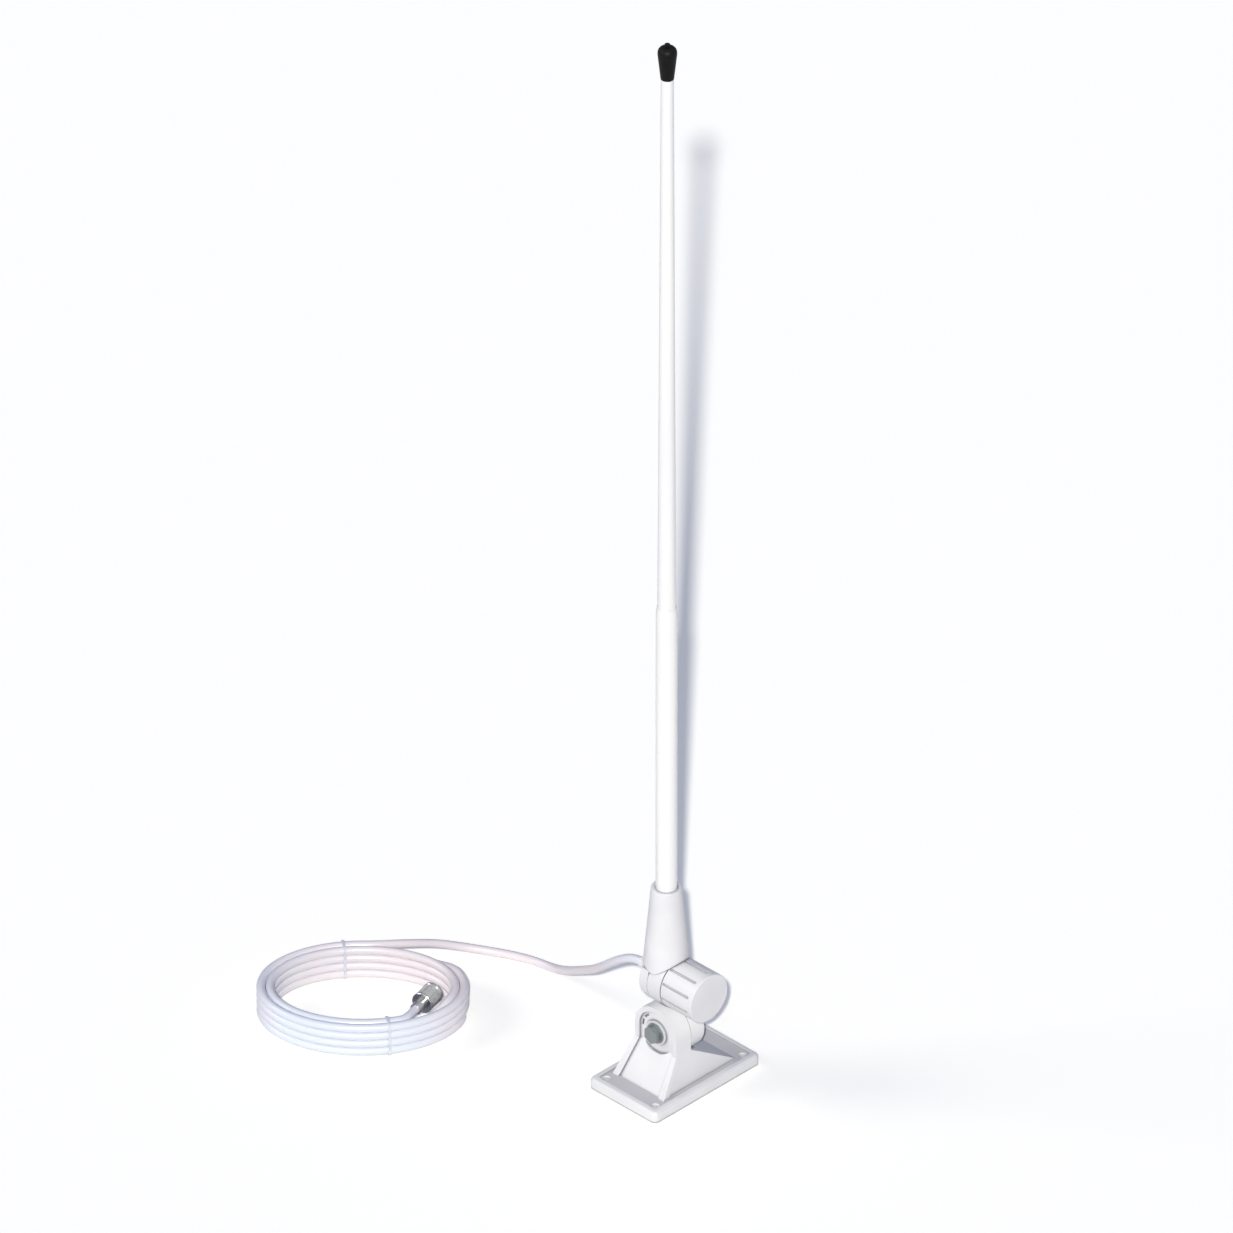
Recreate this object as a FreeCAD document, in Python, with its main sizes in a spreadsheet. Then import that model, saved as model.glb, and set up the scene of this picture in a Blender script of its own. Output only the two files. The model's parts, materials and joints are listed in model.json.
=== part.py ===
"""Marine VHF antenna: a two-step whip on a ratchet mount, with a coiled coaxial lead and its plug.

Millimetres, +Z up. The origin is the centre of the four screw holes on the plate's underside,
+X runs along the plate's long side and -Y points to the clamp knob.
"""
import FreeCAD, Part
import Sketcher
import math
import os
import re

from FreeCAD import Placement, Rotation, Vector

SIZES = [
    ("plate_length", 119, "base plate along X"),
    ("plate_width", 74, "base plate along Y"),
    ("plate_height", 9.5, "underside to the top of the rim"),
    ("plate_corner", 5, "corner radius in plan"),
    ("rim_width", 5.5, "raised rim round the plate"),
    ("rim_round", 3, "rounding of the rim's outer edge"),
    ("field_depth", 1.2, "flat field below the rim"),
    ("field_corner", 2.5, "corner radius of the field"),
    ("hole_span_long", 98, "screw hole spacing along X"),
    ("hole_span_short", 54, "screw hole spacing along Y"),
    ("screw_hole", 5, "screw hole diameter"),
    ("screw_bevel", 0.8, "bevel at each screw hole's mouth"),
    ("foot_front", 41, "pedestal foot towards -X"),
    ("foot_rear", 42, "pedestal foot towards +X"),
    ("foot_width", 53, "pedestal foot along Y"),
    ("shoulder_height", 38, "top of the sloped pedestal"),
    ("block_front", 21.5, "pivot wall's front face, towards -X"),
    ("block_rear", 5, "pivot wall's rear face, towards -X"),
    ("arch_radius", 23, "round top of the pivot wall"),
    ("pivot_height", 51, "lower pivot axis above the underside"),
    ("flank_rib", 5.5, "rib down each front edge of the pedestal, along X"),
    ("flank_proud", 1.8, "that rib beyond the pedestal's side at its foot"),
    ("slot_radius", 15.5, "middle of the arc slots in the arch's panel"),
    ("slot_turn", 101, "middle of the lower arc slot, from straight down through +Y, in degrees"),
    ("slot_step", 32, "from one arc slot to the next, in degrees"),
    ("slot_span", 22, "each arc slot, in degrees"),
    ("slot_width", 1.8, "arc slots in the arch's panel"),
    ("slot_depth", 1.2, "arc slots in the arch's panel"),
    ("core_wall", 4, "wall round the hollow under the pedestal"),
    ("core_front", 25, "front of that hollow at its top"),
    ("core_rear", 10, "wall of that hollow at its rear, at its foot"),
    ("core_height", 24, "top of that hollow"),
    ("core_rib", 2.5, "ribs in that hollow"),
    ("rib_cross", 16, "height of the rib across"),
    ("rib_along", 10, "height of the rib along"),
    ("band_width", 4.5, "raised band round the pivot wall"),
    ("band_depth", 2, "panel below the band"),
    ("collar_radius", 10.5, "raised seat under the bolt's washer"),
    ("swing_gap", 0.6, "room round the knuckle's disc"),
    ("cut_over", 1, "cutting shapes carried past a face"),
    ("bolt_radius", 4, "pivot bolt shank"),
    ("bolt_across", 13, "pivot bolt and nut across flats"),
    ("bolt_head", 4.6, "pivot bolt head height"),
    ("bolt_tail", 2.5, "bolt past its nut"),
    ("nut_height", 6.5, "pivot nut"),
    ("washer_radius", 8.5, "pivot washers"),
    ("washer_height", 1.2, "pivot washers"),
    ("running_fit", 0.05, "radial clearance of turning and bolted fits"),
    ("tooth_count", 36, "teeth on each ratchet face"),
    ("tooth_depth", 1, "tooth depth at the outer end"),
    ("tooth_inner", 9, "inner radius of the teeth"),
    ("tooth_rim", 1.8, "plain rim outside the teeth"),
    ("tooth_share", 0.92, "share of the pitch that a slot between teeth takes"),
    ("slot_over", 0.2, "slots carried past the ratchet face"),
    ("ratchet_gap", 0.3, "gap between two facing ratchet faces"),
    ("disc_thickness", 14.7, "knuckle's lower disc"),
    ("barrel_offset", -4, "upper pivot axis along X"),
    ("barrel_near", 8, "knuckle's barrel towards the knob"),
    ("barrel_far", 6, "knuckle's barrel towards the ferrule"),
    ("rib_start", 10.5, "neck's rear rib above the lower axis"),
    ("drum_radius", 21, "barrel and knob"),
    ("drum_gap", 0.5, "pivot wall to barrel"),
    ("knob_length", 33.7, "knob along its axis"),
    ("knob_gap", 0.3, "knob to barrel"),
    ("knob_round", 1, "edge rounding of the knob"),
    ("groove_count", 10, "grip grooves"),
    ("groove_radius", 1.1, "round bottom of a grip groove"),
    ("groove_length", 26.4, "grip groove between its end centres"),
    ("groove_margin", 2.2, "knob's inner face to the first end centre"),
    ("groove_turn", -5, "first groove from the top, towards -X, in degrees"),
    ("clamp_radius", 3, "clamp bolt shank"),
    ("clamp_across", 10, "clamp bolt head across flats"),
    ("clamp_head", 4, "clamp bolt head height"),
    ("insert_radius", 5, "threaded insert in the knob"),
    ("insert_length", 15, "threaded insert in the knob"),
    ("thrust_radius", 8, "thrust washer in the knob's face"),
    ("thrust_height", 1, "thrust washer"),
    ("lug_radius", 21, "ferrule's pivot lug"),
    ("lug_thickness", 8.3, "ferrule's pivot lug"),
    ("lug_web", 3.2, "lug left under the clamp bolt's head"),
    ("boss_radius", 12, "cable boss behind the lug"),
    ("boss_length", 5.4, "cable boss behind the lug"),
    ("boss_bore", 6.2, "cable boss bore radius"),
    ("whip_offset", 5.3, "whip axis along Y"),
    ("cone_start", 11.5, "ferrule cone's foot above the upper axis"),
    ("cone_length", 73, "ferrule cone"),
    ("cone_foot", 18.8, "ferrule cone's lower radius"),
    ("cone_top", 12.3, "ferrule cone's upper radius"),
    ("cone_round", 1, "rounding of the cone's upper edge"),
    ("socket_depth", 40, "whip in its socket"),
    ("tube_fit", 0.05, "radial clearance of the glued tubes"),
    ("lower_radius", 8.6, "lower tube"),
    ("lower_wall", 1.1, "lower tube wall"),
    ("lower_length", 306, "lower tube with its end in the socket"),
    ("shoulder_length", 7, "chamfer at the lower tube's top"),
    ("shoulder_lip", 0.4, "flat end left on that chamfer"),
    ("upper_foot", 7.4, "upper tube's lower radius"),
    ("upper_tip", 5.1, "upper tube's upper radius"),
    ("upper_wall", 1.2, "upper tube wall"),
    ("upper_overlap", 46, "upper tube inside the lower"),
    ("upper_length", 491, "upper tube above the lower"),
    ("cap_spigot", 12, "tip cap inside the tube"),
    ("cap_foot", 5.3, "tip cap's lower radius"),
    ("cap_radius", 7.65, "tip cap's widest radius"),
    ("cap_flare", 22, "tip cap's flare"),
    ("cap_crown", 7, "tip cap above its flare"),
    ("cap_round", 5.2, "tip cap's rounded shoulder"),
    ("nub_radius", 2.2, "nub on the tip cap"),
    ("nub_height", 2.4, "nub on the tip cap"),
    ("lead_radius", 2, "inner lead"),
    ("lead_gap", 0.3, "room round the inner lead"),
    ("lead_set", 4, "inner lead behind the whip axis, in the whip"),
    ("lead_drop", 16, "inner lead's lower stretch along Y"),
    ("lead_bend", 7, "inner lead's bend radius"),
    ("lead_knee", 16.5, "inner lead's knee above the upper axis"),
    ("lead_hip", 34.5, "inner lead's upper bend above the upper axis"),
    ("former_set", 10, "matching coil's former above the whip's foot"),
    ("former_flange", 3, "end flange of the former"),
    ("former_length", 48, "former"),
    ("former_radius", 4.6, "former between its flanges"),
    ("former_fit", 0.2, "former and spacers in the tubes"),
    ("winding_wire", 0.6, "matching coil wire radius"),
    ("winding_pitch", 6, "matching coil pitch"),
    ("winding_turns", 5, "matching coil turns"),
    ("radiator_radius", 1.1, "radiating wire"),
    ("radiator_seat", 12, "radiating wire inside the former"),
    ("radiator_end", 14, "radiating wire's end below the tip cap"),
    ("spacer_height", 5, "foam spacer"),
    ("spacer_count", 8, "foam spacers along the wire"),
    ("spacer_pitch", 75, "one foam spacer to the next"),
    ("cable_radius", 3.6, "coaxial cable"),
    ("gland_flange", 8.5, "cable gland's flange radius"),
    ("gland_plate", 2.5, "cable gland's flange height"),
    ("gland_throat", 5.2, "cable gland's inner mouth radius"),
    ("gland_seat", 3, "cable end in the gland"),
    ("gland_root", 6.2, "cable gland's radius at its flange"),
    ("gland_tip", 4.7, "cable gland's radius at its mouth"),
    ("gland_length", 12, "cable gland"),
    ("cord_gap", 0.1, "radial clearance round the cable"),
    ("cord_straight", 15.5, "cable's straight start out of the gland"),
    ("lead_share", 0.45, "share of a run that each of its bends takes, between gland and coil"),
    ("tail_share", 0.9, "share of a run that its bend takes, between coil and plug"),
    ("coil_across", 80.5, "coil's half width at the outer turns' centre"),
    ("coil_deep", 58, "coil's half depth at the outer turns' centre"),
    ("coil_turn", -45.4, "coil's long axis from X, in degrees"),
    ("coil_east", -113, "coil centre along X"),
    ("coil_north", 235, "coil centre along Y"),
    ("coil_layers", 4, "turns in height"),
    ("coil_columns", 2, "turns in width"),
    ("coil_round", 3.4, "edge rounding of the coil's outline"),
    ("tie_round", 3.2, "inner corner radius of a tie"),
    ("tie_thickness", 1, "cable tie"),
    ("tie_width", 2, "cable tie"),
    ("tie_front", -74.5, "front tie round the coil, in degrees"),
    ("tie_rear", 101.5, "rear tie round the coil, in degrees"),
    ("plug_east", -106, "plug's rear end along X"),
    ("plug_north", 182.9, "plug's rear end along Y"),
    ("plug_turn", 14.6, "plug's axis from X, in degrees"),
    ("ring_radius", 9, "coupling ring"),
    ("ring_length", 19, "coupling ring"),
    ("ring_bore", 7.5, "coupling ring's thread, inner radius"),
    ("ring_lip", 2.4, "coupling ring's rear wall"),
    ("ring_bevel", 0.4, "edges of the coupling ring"),
    ("ring_start", 9.6, "coupling ring from the plug's rear end"),
    ("knurl_count", 30, "knurl notches round the coupling ring"),
    ("knurl_depth", 0.4, "knurl notch depth"),
    ("knurl_front", 3.5, "smooth band at the ring's mouth"),
    ("knurl_rear", 3, "smooth band at the ring's rear"),
    ("body_radius", 6, "plug body's barrel"),
    ("body_start", 9.2, "plug body from the plug's rear end"),
    ("body_flange", 7.1, "flange that holds the coupling ring"),
    ("flange_start", 17, "that flange from the plug's rear end"),
    ("flange_height", 2, "that flange"),
    ("body_nose", 5.7, "plug body's front tube"),
    ("body_end", 26.2, "plug body's front end"),
    ("nose_bore", 4.1, "plug body's front bore"),
    ("sleeve_radius", 4.75, "cable sleeve behind the plug"),
    ("sleeve_spigot", 4.3, "cable sleeve inside the plug"),
    ("sleeve_end", 14.8, "cable sleeve's inner end"),
    ("insulator_start", 15.4, "insulator from the plug's rear end"),
    ("insulator_end", 25.4, "insulator's front face"),
    ("pin_radius", 2, "centre pin"),
    ("pin_bore", 1.1, "centre pin's hollow front"),
    ("pin_depth", 9, "centre pin's hollow front"),
    ("pin_end", 29.6, "centre pin's tip"),
]

os.makedirs("parts", exist_ok=True)
doc = FreeCAD.newDocument("vhf_antenna")
sheet = doc.addObject("Spreadsheet::Sheet", "Sizes")
for row, (alias, value, meaning) in enumerate(SIZES, 1):
    sheet.set(f"A{row}", meaning)
    sheet.set(f"B{row}", str(value))
    sheet.setAlias(f"B{row}", alias)
doc.recompute()

UPRIGHT = Rotation()
ALONG_X = Rotation(Vector(0, 1, 0), 90)
ALONG_Y = Rotation(Vector(1, 0, 0), -90)
WEDGE_UP = Rotation(Vector(1, 0, 0), 90)
ORIGIN = ("0", "0", "0")

# Heights and places that several pieces share, as expressions of the driving sizes
AXIS_Z = "(pivot_height + arch_radius + drum_radius + drum_gap)"
FIELD_Z = "(plate_height - field_depth)"
DISC_X = "(ratchet_gap - block_rear)"
LUG_Y = "(barrel_far + ratchet_gap)"
BOSS_Y = f"({LUG_Y} + lug_thickness + boss_length)"
KNOB_Y = "(-barrel_near - knob_gap - knob_length)"
HEAD_Y = f"({LUG_Y} + lug_web)"
CONE_Z = f"({AXIS_Z} + cone_start)"
WHIP_Z = f"({CONE_Z} + cone_length - socket_depth)"
SHOULDER_Z = f"({WHIP_Z} + lower_length)"
TIP_Z = f"({SHOULDER_Z} + upper_length)"
FORMER_Z = f"({WHIP_Z} + former_set)"
COIL_Z = "(tie_thickness + cord_gap)"
PLUG_Z = f"({COIL_Z} + cable_radius * (2 * coil_layers - 1))"

# The cable's way across the deck to the coil, and from the coil up to its plug
LEAD_ROUTE = [(-4, 52, 89), (-2, 70, 74.5), (5, 92, 54.5), (14, 115, 38), (24.5, 140, 20), (33, 164, 5.5),
              (31, 188, 3.7), (22, 210, 3.7), (5, 233, 6.5), (-17, 246, 15.5), (-43, 255.5, 23.5),
              (-65, 270, 26.4)]
TAIL_ROUTE = [(-132.2, 185.4), (-121.9, 178.8)]

pieces = []


def size(alias):
    """The value of one driving size."""
    return float(sheet.get(alias))


def bind(item, prop, text):
    """Ties a property to an expression of the driving sizes."""
    item.setExpression(prop, re.sub(r"[a-z]+(?:_[a-z]+)+", r"Sizes.\g<0>", text))


def place(item, at, turn):
    """Sets an item's turn and ties its place to expressions."""
    item.Placement = Placement(Vector(), turn)
    for letter, text in zip("xyz", at):
        bind(item, f".Placement.Base.{letter}", text)


def piece(item, label):
    """Names a finished sub-part."""
    item.Label = label
    pieces.append(item)
    return item


def new_body(label, at=ORIGIN, turn=UPRIGHT):
    """An empty body, named for its sub-part."""
    body = doc.addObject("PartDesign::Body", label + "_body")
    place(body, at, turn)
    return body


def feature(body, kind, at=ORIGIN, turn=UPRIGHT, **sizes):
    """A primitive added to or taken from a body."""
    item = body.newObject("PartDesign::" + kind, kind)
    for prop, text in sizes.items():
        bind(item, prop, text)
    place(item, at, turn)
    return item


def wedge(body, kind, low, high, width, levels):
    """A block that tapers upwards: X range and half width at its foot and top, and its two levels."""
    return feature(body, kind, turn=WEDGE_UP, Xmin=low[0], Xmax=low[1],
                   X2min=high[0], X2max=high[1],
                   Zmin=f"-({width[0]})", Zmax=width[0], Z2min=f"-({width[1]})", Z2max=width[1],
                   Ymin=levels[0], Ymax=levels[1])


def soften(body, base, radius, chosen, kind="Fillet"):
    """Rounds or bevels the edges of a feature that a test picks."""
    doc.recompute()
    names = [f"Edge{number}" for number, edge in enumerate(base.Shape.Edges, 1) if chosen(edge)]
    item = body.newObject("PartDesign::" + kind, kind)
    item.Base = (base, names)
    bind(item, "Radius" if kind == "Fillet" else "Size", radius)
    return item


def upright(edge):
    """True for a straight edge along the body's Z axis."""
    box = edge.BoundBox
    return box.ZLength > 1 and box.XLength < 0.01 and box.YLength < 0.01


def axis_of(body, role):
    """One of a body's own axes or planes."""
    return next(item for item in body.Origin.OriginFeatures if item.Role == role)


def polar(body, originals, count):
    """Repeats features round the body's Z axis."""
    item = body.newObject("PartDesign::PolarPattern", "PolarPattern")
    item.Originals = originals
    item.Axis = (axis_of(body, "Z_Axis"), [""])
    item.Angle = 360
    bind(item, "Occurrences", count)
    body.Tip = item
    return item


def turned(label, outline, at=ORIGIN, turn=UPRIGHT):
    """A body turned about its Z axis from an outline of (radius, height) expressions."""
    body = new_body(label, at, turn)
    sketch = body.newObject("Sketcher::SketchObject", label + "_outline")
    sketch.AttachmentSupport = [(axis_of(body, "XZ_Plane"), "")]
    sketch.MapMode = "FlatFace"
    count = len(outline)
    start = [Vector(20 + 9 * math.cos(2 * math.pi * i / count), 20 + 9 * math.sin(2 * math.pi * i / count), 0)
             for i in range(count)]
    for number in range(count):
        sketch.addGeometry(Part.LineSegment(start[number], start[(number + 1) % count]), False)
    for number in range(count):
        sketch.addConstraint(end_to_start(number, (number + 1) % count))
    for number, (across, along) in enumerate(outline):
        pin_vertex(sketch, number, "DistanceX", across, -2)
        pin_vertex(sketch, number, "DistanceY", along, -1)
    spun = body.newObject("PartDesign::Revolution", label + "_turned")
    spun.Profile = sketch
    spun.ReferenceAxis = (sketch, ["V_Axis"])
    spun.Angle = 360
    return body


def pin_vertex(sketch, number, kind, text, axis):
    """Puts a line's first end at an expression's distance from the origin, or on an axis."""
    if text == "0":
        sketch.addConstraint(Sketcher.Constraint("PointOnObject", number, 1, axis))
        return
    sketch.addConstraint(Sketcher.Constraint(kind, -1, 1, number, 1, 1.0))
    bind(sketch, f"Constraints[{sketch.ConstraintCount - 1}]", text)


def end_to_start(first, second):
    """One line's end on the next line's start."""
    return Sketcher.Constraint("Coincident", first, 2, second, 1)


def cut_away(label, base, *tools):
    """A body less some loose cutting shapes."""
    for number, tool in enumerate(tools, 1):
        result = doc.addObject("Part::Cut", f"{label}_cut_{number}")
        result.Base = base
        result.Tool = tool
        base = result
    return base


def loose(name, shape, at=ORIGIN, turn=UPRIGHT):
    """A shape made directly, where neither a body nor a primitive fits."""
    item = doc.addObject("Part::Feature", name)
    item.Shape = shape
    place(item, at, turn)
    return item


def ratchet_slots(name, outer, at, turn):
    """V-shaped slots that run to the axis, the gaps between a ratchet face's teeth.

    The face is at height 0 and looks along +Z. Each slot is a ruled wedge between two triangles.
    """
    depth, count, inner = size("tooth_depth"), round(size("tooth_count")), size("tooth_inner")
    above, share = size("slot_over"), size("tooth_share")
    slots = []
    for number in range(count):
        ends = []
        for radius in (inner, outer):
            low = depth * radius / outer
            half = share * math.pi * radius / count * (low + above) / low
            ends.append(Part.makePolygon([Vector(radius, -half, above), Vector(radius, 0, -low),
                                          Vector(radius, half, above), Vector(radius, -half, above)]))
        slot = Part.makeLoft(ends, True, True)
        slot.rotate(Vector(), Vector(0, 0, 1), 360 * number / count)
        slots.append(slot)
    return loose(name, Part.makeCompound(slots), at, turn)


def rounded_path(points, bends):
    """A wire of straight runs joined by tangent arcs of the given radii."""
    edges, last = [], points[0]
    for before, corner, after, bend in zip(points, points[1:], points[2:], bends):
        inward = (before - corner).normalize()
        outward = (after - corner).normalize()
        half_turn = (math.pi - inward.getAngle(outward)) / 2
        reach = bend * math.tan(half_turn)
        start, end = corner + inward * reach, corner + outward * reach
        middle = corner + (inward + outward).normalize() * (bend / math.cos(half_turn) - bend)
        edges.append(Part.LineSegment(last, start).toShape())
        edges.append(Part.Arc(start, middle, end).toShape())
        last = end
    edges.append(Part.LineSegment(last, points[-1]).toShape())
    return Part.Wire(edges)


def tube_along(path, radius):
    """A round bar along a wire, with its volume compared with its section times its length."""
    start = path.OrderedEdges[0]
    ring = Part.Circle(start.valueAt(start.FirstParameter), start.tangentAt(start.FirstParameter), radius)
    bar = path.makePipeShell([Part.Wire([ring.toShape()])], True, True)
    expected = math.pi * radius ** 2 * path.Length
    if abs(bar.Volume / expected - 1) > 0.01:
        raise ValueError(f"tube volume {bar.Volume:.1f}, expected {expected:.1f}")
    return bar


def cord(label, route, share):
    """A free stretch of the cable: each arc takes a share of the shorter of its two runs."""
    points = [Vector(*point) for point in route]
    bends = []
    for before, corner, after in zip(points, points[1:], points[2:]):
        half_turn = (math.pi - (before - corner).getAngle(after - corner)) / 2
        shorter = min((before - corner).Length, (after - corner).Length)
        bends.append(share * shorter / math.tan(half_turn))
    path = rounded_path(points, bends)
    print(label, "length", round(path.Length, 1), "bend radii", [round(bend, 1) for bend in bends])
    return piece(loose(label + "_bar", tube_along(path, size("cable_radius"))), label)


def arc_slots():
    """Two short arc slots in the arch's panel, over the bolt on its +Y side."""
    middle, width = size("slot_radius"), size("slot_width")
    floor = size("band_depth") + size("slot_depth")
    slots = []
    for step in (0, 1):
        slot = Part.makeCylinder(middle + width / 2, floor, Vector(), Vector(0, 0, 1), size("slot_span"))
        slot = slot.cut(Part.makeCylinder(middle - width / 2, floor))
        start = size("slot_turn") + step * size("slot_step") - size("slot_span") / 2
        slot.rotate(Vector(), Vector(0, 0, 1), start)
        slots.append(slot)
    return loose("panel_slots", Part.makeCompound(slots), ("-block_front", "0", "pivot_height"), ALONG_X)


def base_bracket():
    """Plate with a raised rim, sloped pedestal and the pivot wall with its arch-shaped band."""
    body = new_body("base_bracket")
    plate = feature(body, "AdditiveBox", ("-plate_length / 2", "-plate_width / 2", "0"),
                    Length="plate_length", Width="plate_width", Height="plate_height")
    corners = soften(body, plate, "plate_corner", upright)
    top = size("plate_height")
    soften(body, corners, "rim_round", lambda edge: edge.BoundBox.ZMin > top - 0.01)
    field = feature(body, "SubtractiveBox",
                    ("rim_width - plate_length / 2", "rim_width - plate_width / 2", FIELD_Z),
                    Length="plate_length - 2 * rim_width", Width="plate_width - 2 * rim_width",
                    Height="field_depth + cut_over")
    inside = size("plate_length") / 2 - size("rim_width") + 0.01
    soften(body, field, "field_corner",
           lambda edge: edge.BoundBox.ZLength > 0.9 * size("field_depth") and edge.BoundBox.XMax < inside
           and edge.BoundBox.XMin > -inside and edge.BoundBox.ZMin > top / 2)
    for east in (-1, 1):
        for north in (-1, 1):
            spot = (f"{east} * hole_span_long / 2", f"{north} * hole_span_short / 2")
            feature(body, "SubtractiveCylinder", spot + ("0",), Radius="screw_hole / 2",
                    Height="plate_height")
            feature(body, "SubtractiveCone", spot + (f"{FIELD_Z} - screw_bevel",), Height="screw_bevel",
                    Radius1="screw_hole / 2", Radius2="screw_hole / 2 + screw_bevel")
    wedge(body, "AdditiveWedge", ("-foot_front", "foot_rear"), ("-block_front", "-block_rear"),
          ("foot_width / 2", "arch_radius"), (FIELD_Z, "shoulder_height"))
    feature(body, "AdditiveBox", ("-block_front", "-arch_radius", "shoulder_height"),
            Length="block_front - block_rear", Width="2 * arch_radius",
            Height="pivot_height - shoulder_height")
    feature(body, "AdditiveCylinder", ("-block_front", "0", "pivot_height"), ALONG_X,
            Radius="arch_radius", Height="block_front - block_rear")
    wedge(body, "AdditiveWedge", ("-foot_front", "flank_rib - foot_front"),
          ("-block_front", "flank_rib - block_front"), ("foot_width / 2 + flank_proud", "arch_radius"),
          (FIELD_Z, "shoulder_height"))
    wedge(body, "SubtractiveWedge", ("-foot_front - cut_over", "band_depth - foot_front"),
          ("-block_front - cut_over", "band_depth - block_front"),
          ("foot_width / 2 - band_width", "arch_radius - band_width"), (FIELD_Z, "shoulder_height"))
    feature(body, "SubtractiveBox",
            ("-block_front - cut_over", "band_width - arch_radius", "shoulder_height"),
            Length="band_depth + cut_over", Width="2 * (arch_radius - band_width)",
            Height="pivot_height - shoulder_height")
    feature(body, "SubtractiveCylinder", ("-block_front - cut_over", "0", "pivot_height"), ALONG_X,
            Radius="arch_radius - band_width", Height="band_depth + cut_over")
    feature(body, "AdditiveCylinder", ("-block_front", "0", "pivot_height"), ALONG_X,
            Radius="collar_radius", Height="2 * band_depth")
    feature(body, "SubtractiveCylinder", ("-block_rear", "0", "pivot_height"), ALONG_X,
            Radius="arch_radius + swing_gap", Height="foot_rear + block_rear")
    feature(body, "SubtractiveCylinder", ("-block_front - cut_over", "0", "pivot_height"), ALONG_X,
            Radius="bolt_radius + running_fit", Height="block_front + 2 * cut_over")
    wedge(body, "SubtractiveWedge", ("core_wall - foot_front", "foot_rear - core_rear"),
          ("-core_front", "-block_rear - core_wall"),
          ("foot_width / 2 - core_wall", "arch_radius - core_wall"), ("0", "core_height"))
    across = "(foot_width / 2 - core_wall + cut_over)"
    feature(body, "AdditiveBox", ("-block_rear - core_wall", f"-{across}", "0"),
            Length="core_rib", Width=f"2 * {across}", Height="rib_cross")
    feature(body, "AdditiveBox", ("core_wall - foot_front - cut_over", "-core_rib / 2", "0"),
            Length="foot_front + foot_rear - core_wall - core_rear + 2 * cut_over", Width="core_rib",
            Height="rib_along")
    slots = ratchet_slots("base_slots", size("arch_radius") - size("tooth_rim"),
                          ("-block_rear", "0", "pivot_height"), ALONG_X)
    piece(cut_away("base", body, slots, arc_slots()), "base_bracket")


def hexagon(body, at, turn, across, height):
    """A bolt head or nut."""
    feature(body, "AdditivePrism", at, turn, Circumradius=f"{across} / sqrt(3)", Height=height)


def washer(label, bore, radius, height, at, turn):
    """A flat ring."""
    piece(turned(label, [(bore, "0"), (radius, "0"), (radius, height), (bore, height)], at, turn), label)


def pivot_fasteners():
    """Hexagon bolt through the lower pivot, with a washer at each end and its nut."""
    head_x = "(-block_front - washer_height)"
    rear_x = f"({DISC_X} + disc_thickness)"
    nut_x = f"({rear_x} + washer_height)"
    bolt = new_body("pivot_bolt")
    hexagon(bolt, (f"{head_x} - bolt_head", "0", "pivot_height"), ALONG_X, "bolt_across", "bolt_head")
    feature(bolt, "AdditiveCylinder", (head_x, "0", "pivot_height"), ALONG_X, Radius="bolt_radius",
            Height=f"{nut_x} + nut_height + bolt_tail - {head_x}")
    piece(bolt, "pivot_bolt")
    for label, start in (("pivot_washer_front", head_x), ("pivot_washer_rear", rear_x)):
        washer(label, "bolt_radius + running_fit", "washer_radius", "washer_height",
               (start, "0", "pivot_height"), ALONG_X)
    nut = new_body("pivot_nut")
    hexagon(nut, (nut_x, "0", "pivot_height"), ALONG_X, "bolt_across", "nut_height")
    feature(nut, "SubtractiveCylinder", (nut_x, "0", "pivot_height"), ALONG_X,
            Radius="bolt_radius + running_fit", Height="nut_height")
    piece(nut, "pivot_nut")


def knuckle():
    """Disc on the lower pivot, neck, and the barrel that the ferrule and the knob clamp between them."""
    body = new_body("knuckle")
    feature(body, "AdditiveCylinder", (DISC_X, "0", "pivot_height"), ALONG_X,
            Radius="arch_radius", Height="disc_thickness")
    feature(body, "AdditiveBox", (DISC_X, "-barrel_near", "pivot_height"), Length="disc_thickness",
            Width="barrel_near + barrel_far", Height=f"{AXIS_Z} - pivot_height")
    feature(body, "AdditiveWedge", turn=WEDGE_UP, Xmin=DISC_X, Xmax=f"{DISC_X} + disc_thickness",
            X2min=DISC_X, X2max="barrel_offset + drum_radius", Zmin="-barrel_far", Zmax="barrel_near",
            Z2min="-barrel_far", Z2max="barrel_near", Ymin="pivot_height + rib_start", Ymax=AXIS_Z)
    feature(body, "AdditiveCylinder", ("barrel_offset", "-barrel_near", AXIS_Z), ALONG_Y,
            Radius="drum_radius", Height="barrel_near + barrel_far")
    feature(body, "SubtractiveCylinder", (DISC_X, "0", "pivot_height"), ALONG_X,
            Radius="bolt_radius + running_fit", Height="disc_thickness")
    feature(body, "SubtractiveCylinder", ("barrel_offset", "-barrel_near", AXIS_Z), ALONG_Y,
            Radius="clamp_radius + running_fit", Height="barrel_near + barrel_far")
    disc_slots = ratchet_slots("disc_slots", size("arch_radius") - size("tooth_rim"),
                               (DISC_X, "0", "pivot_height"), Rotation(Vector(0, 1, 0), -90))
    barrel_slots = ratchet_slots("barrel_slots", size("drum_radius") - size("tooth_rim"),
                                 ("barrel_offset", "barrel_far", AXIS_Z), ALONG_Y)
    piece(cut_away("knuckle", body, disc_slots, barrel_slots), "knuckle")


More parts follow.
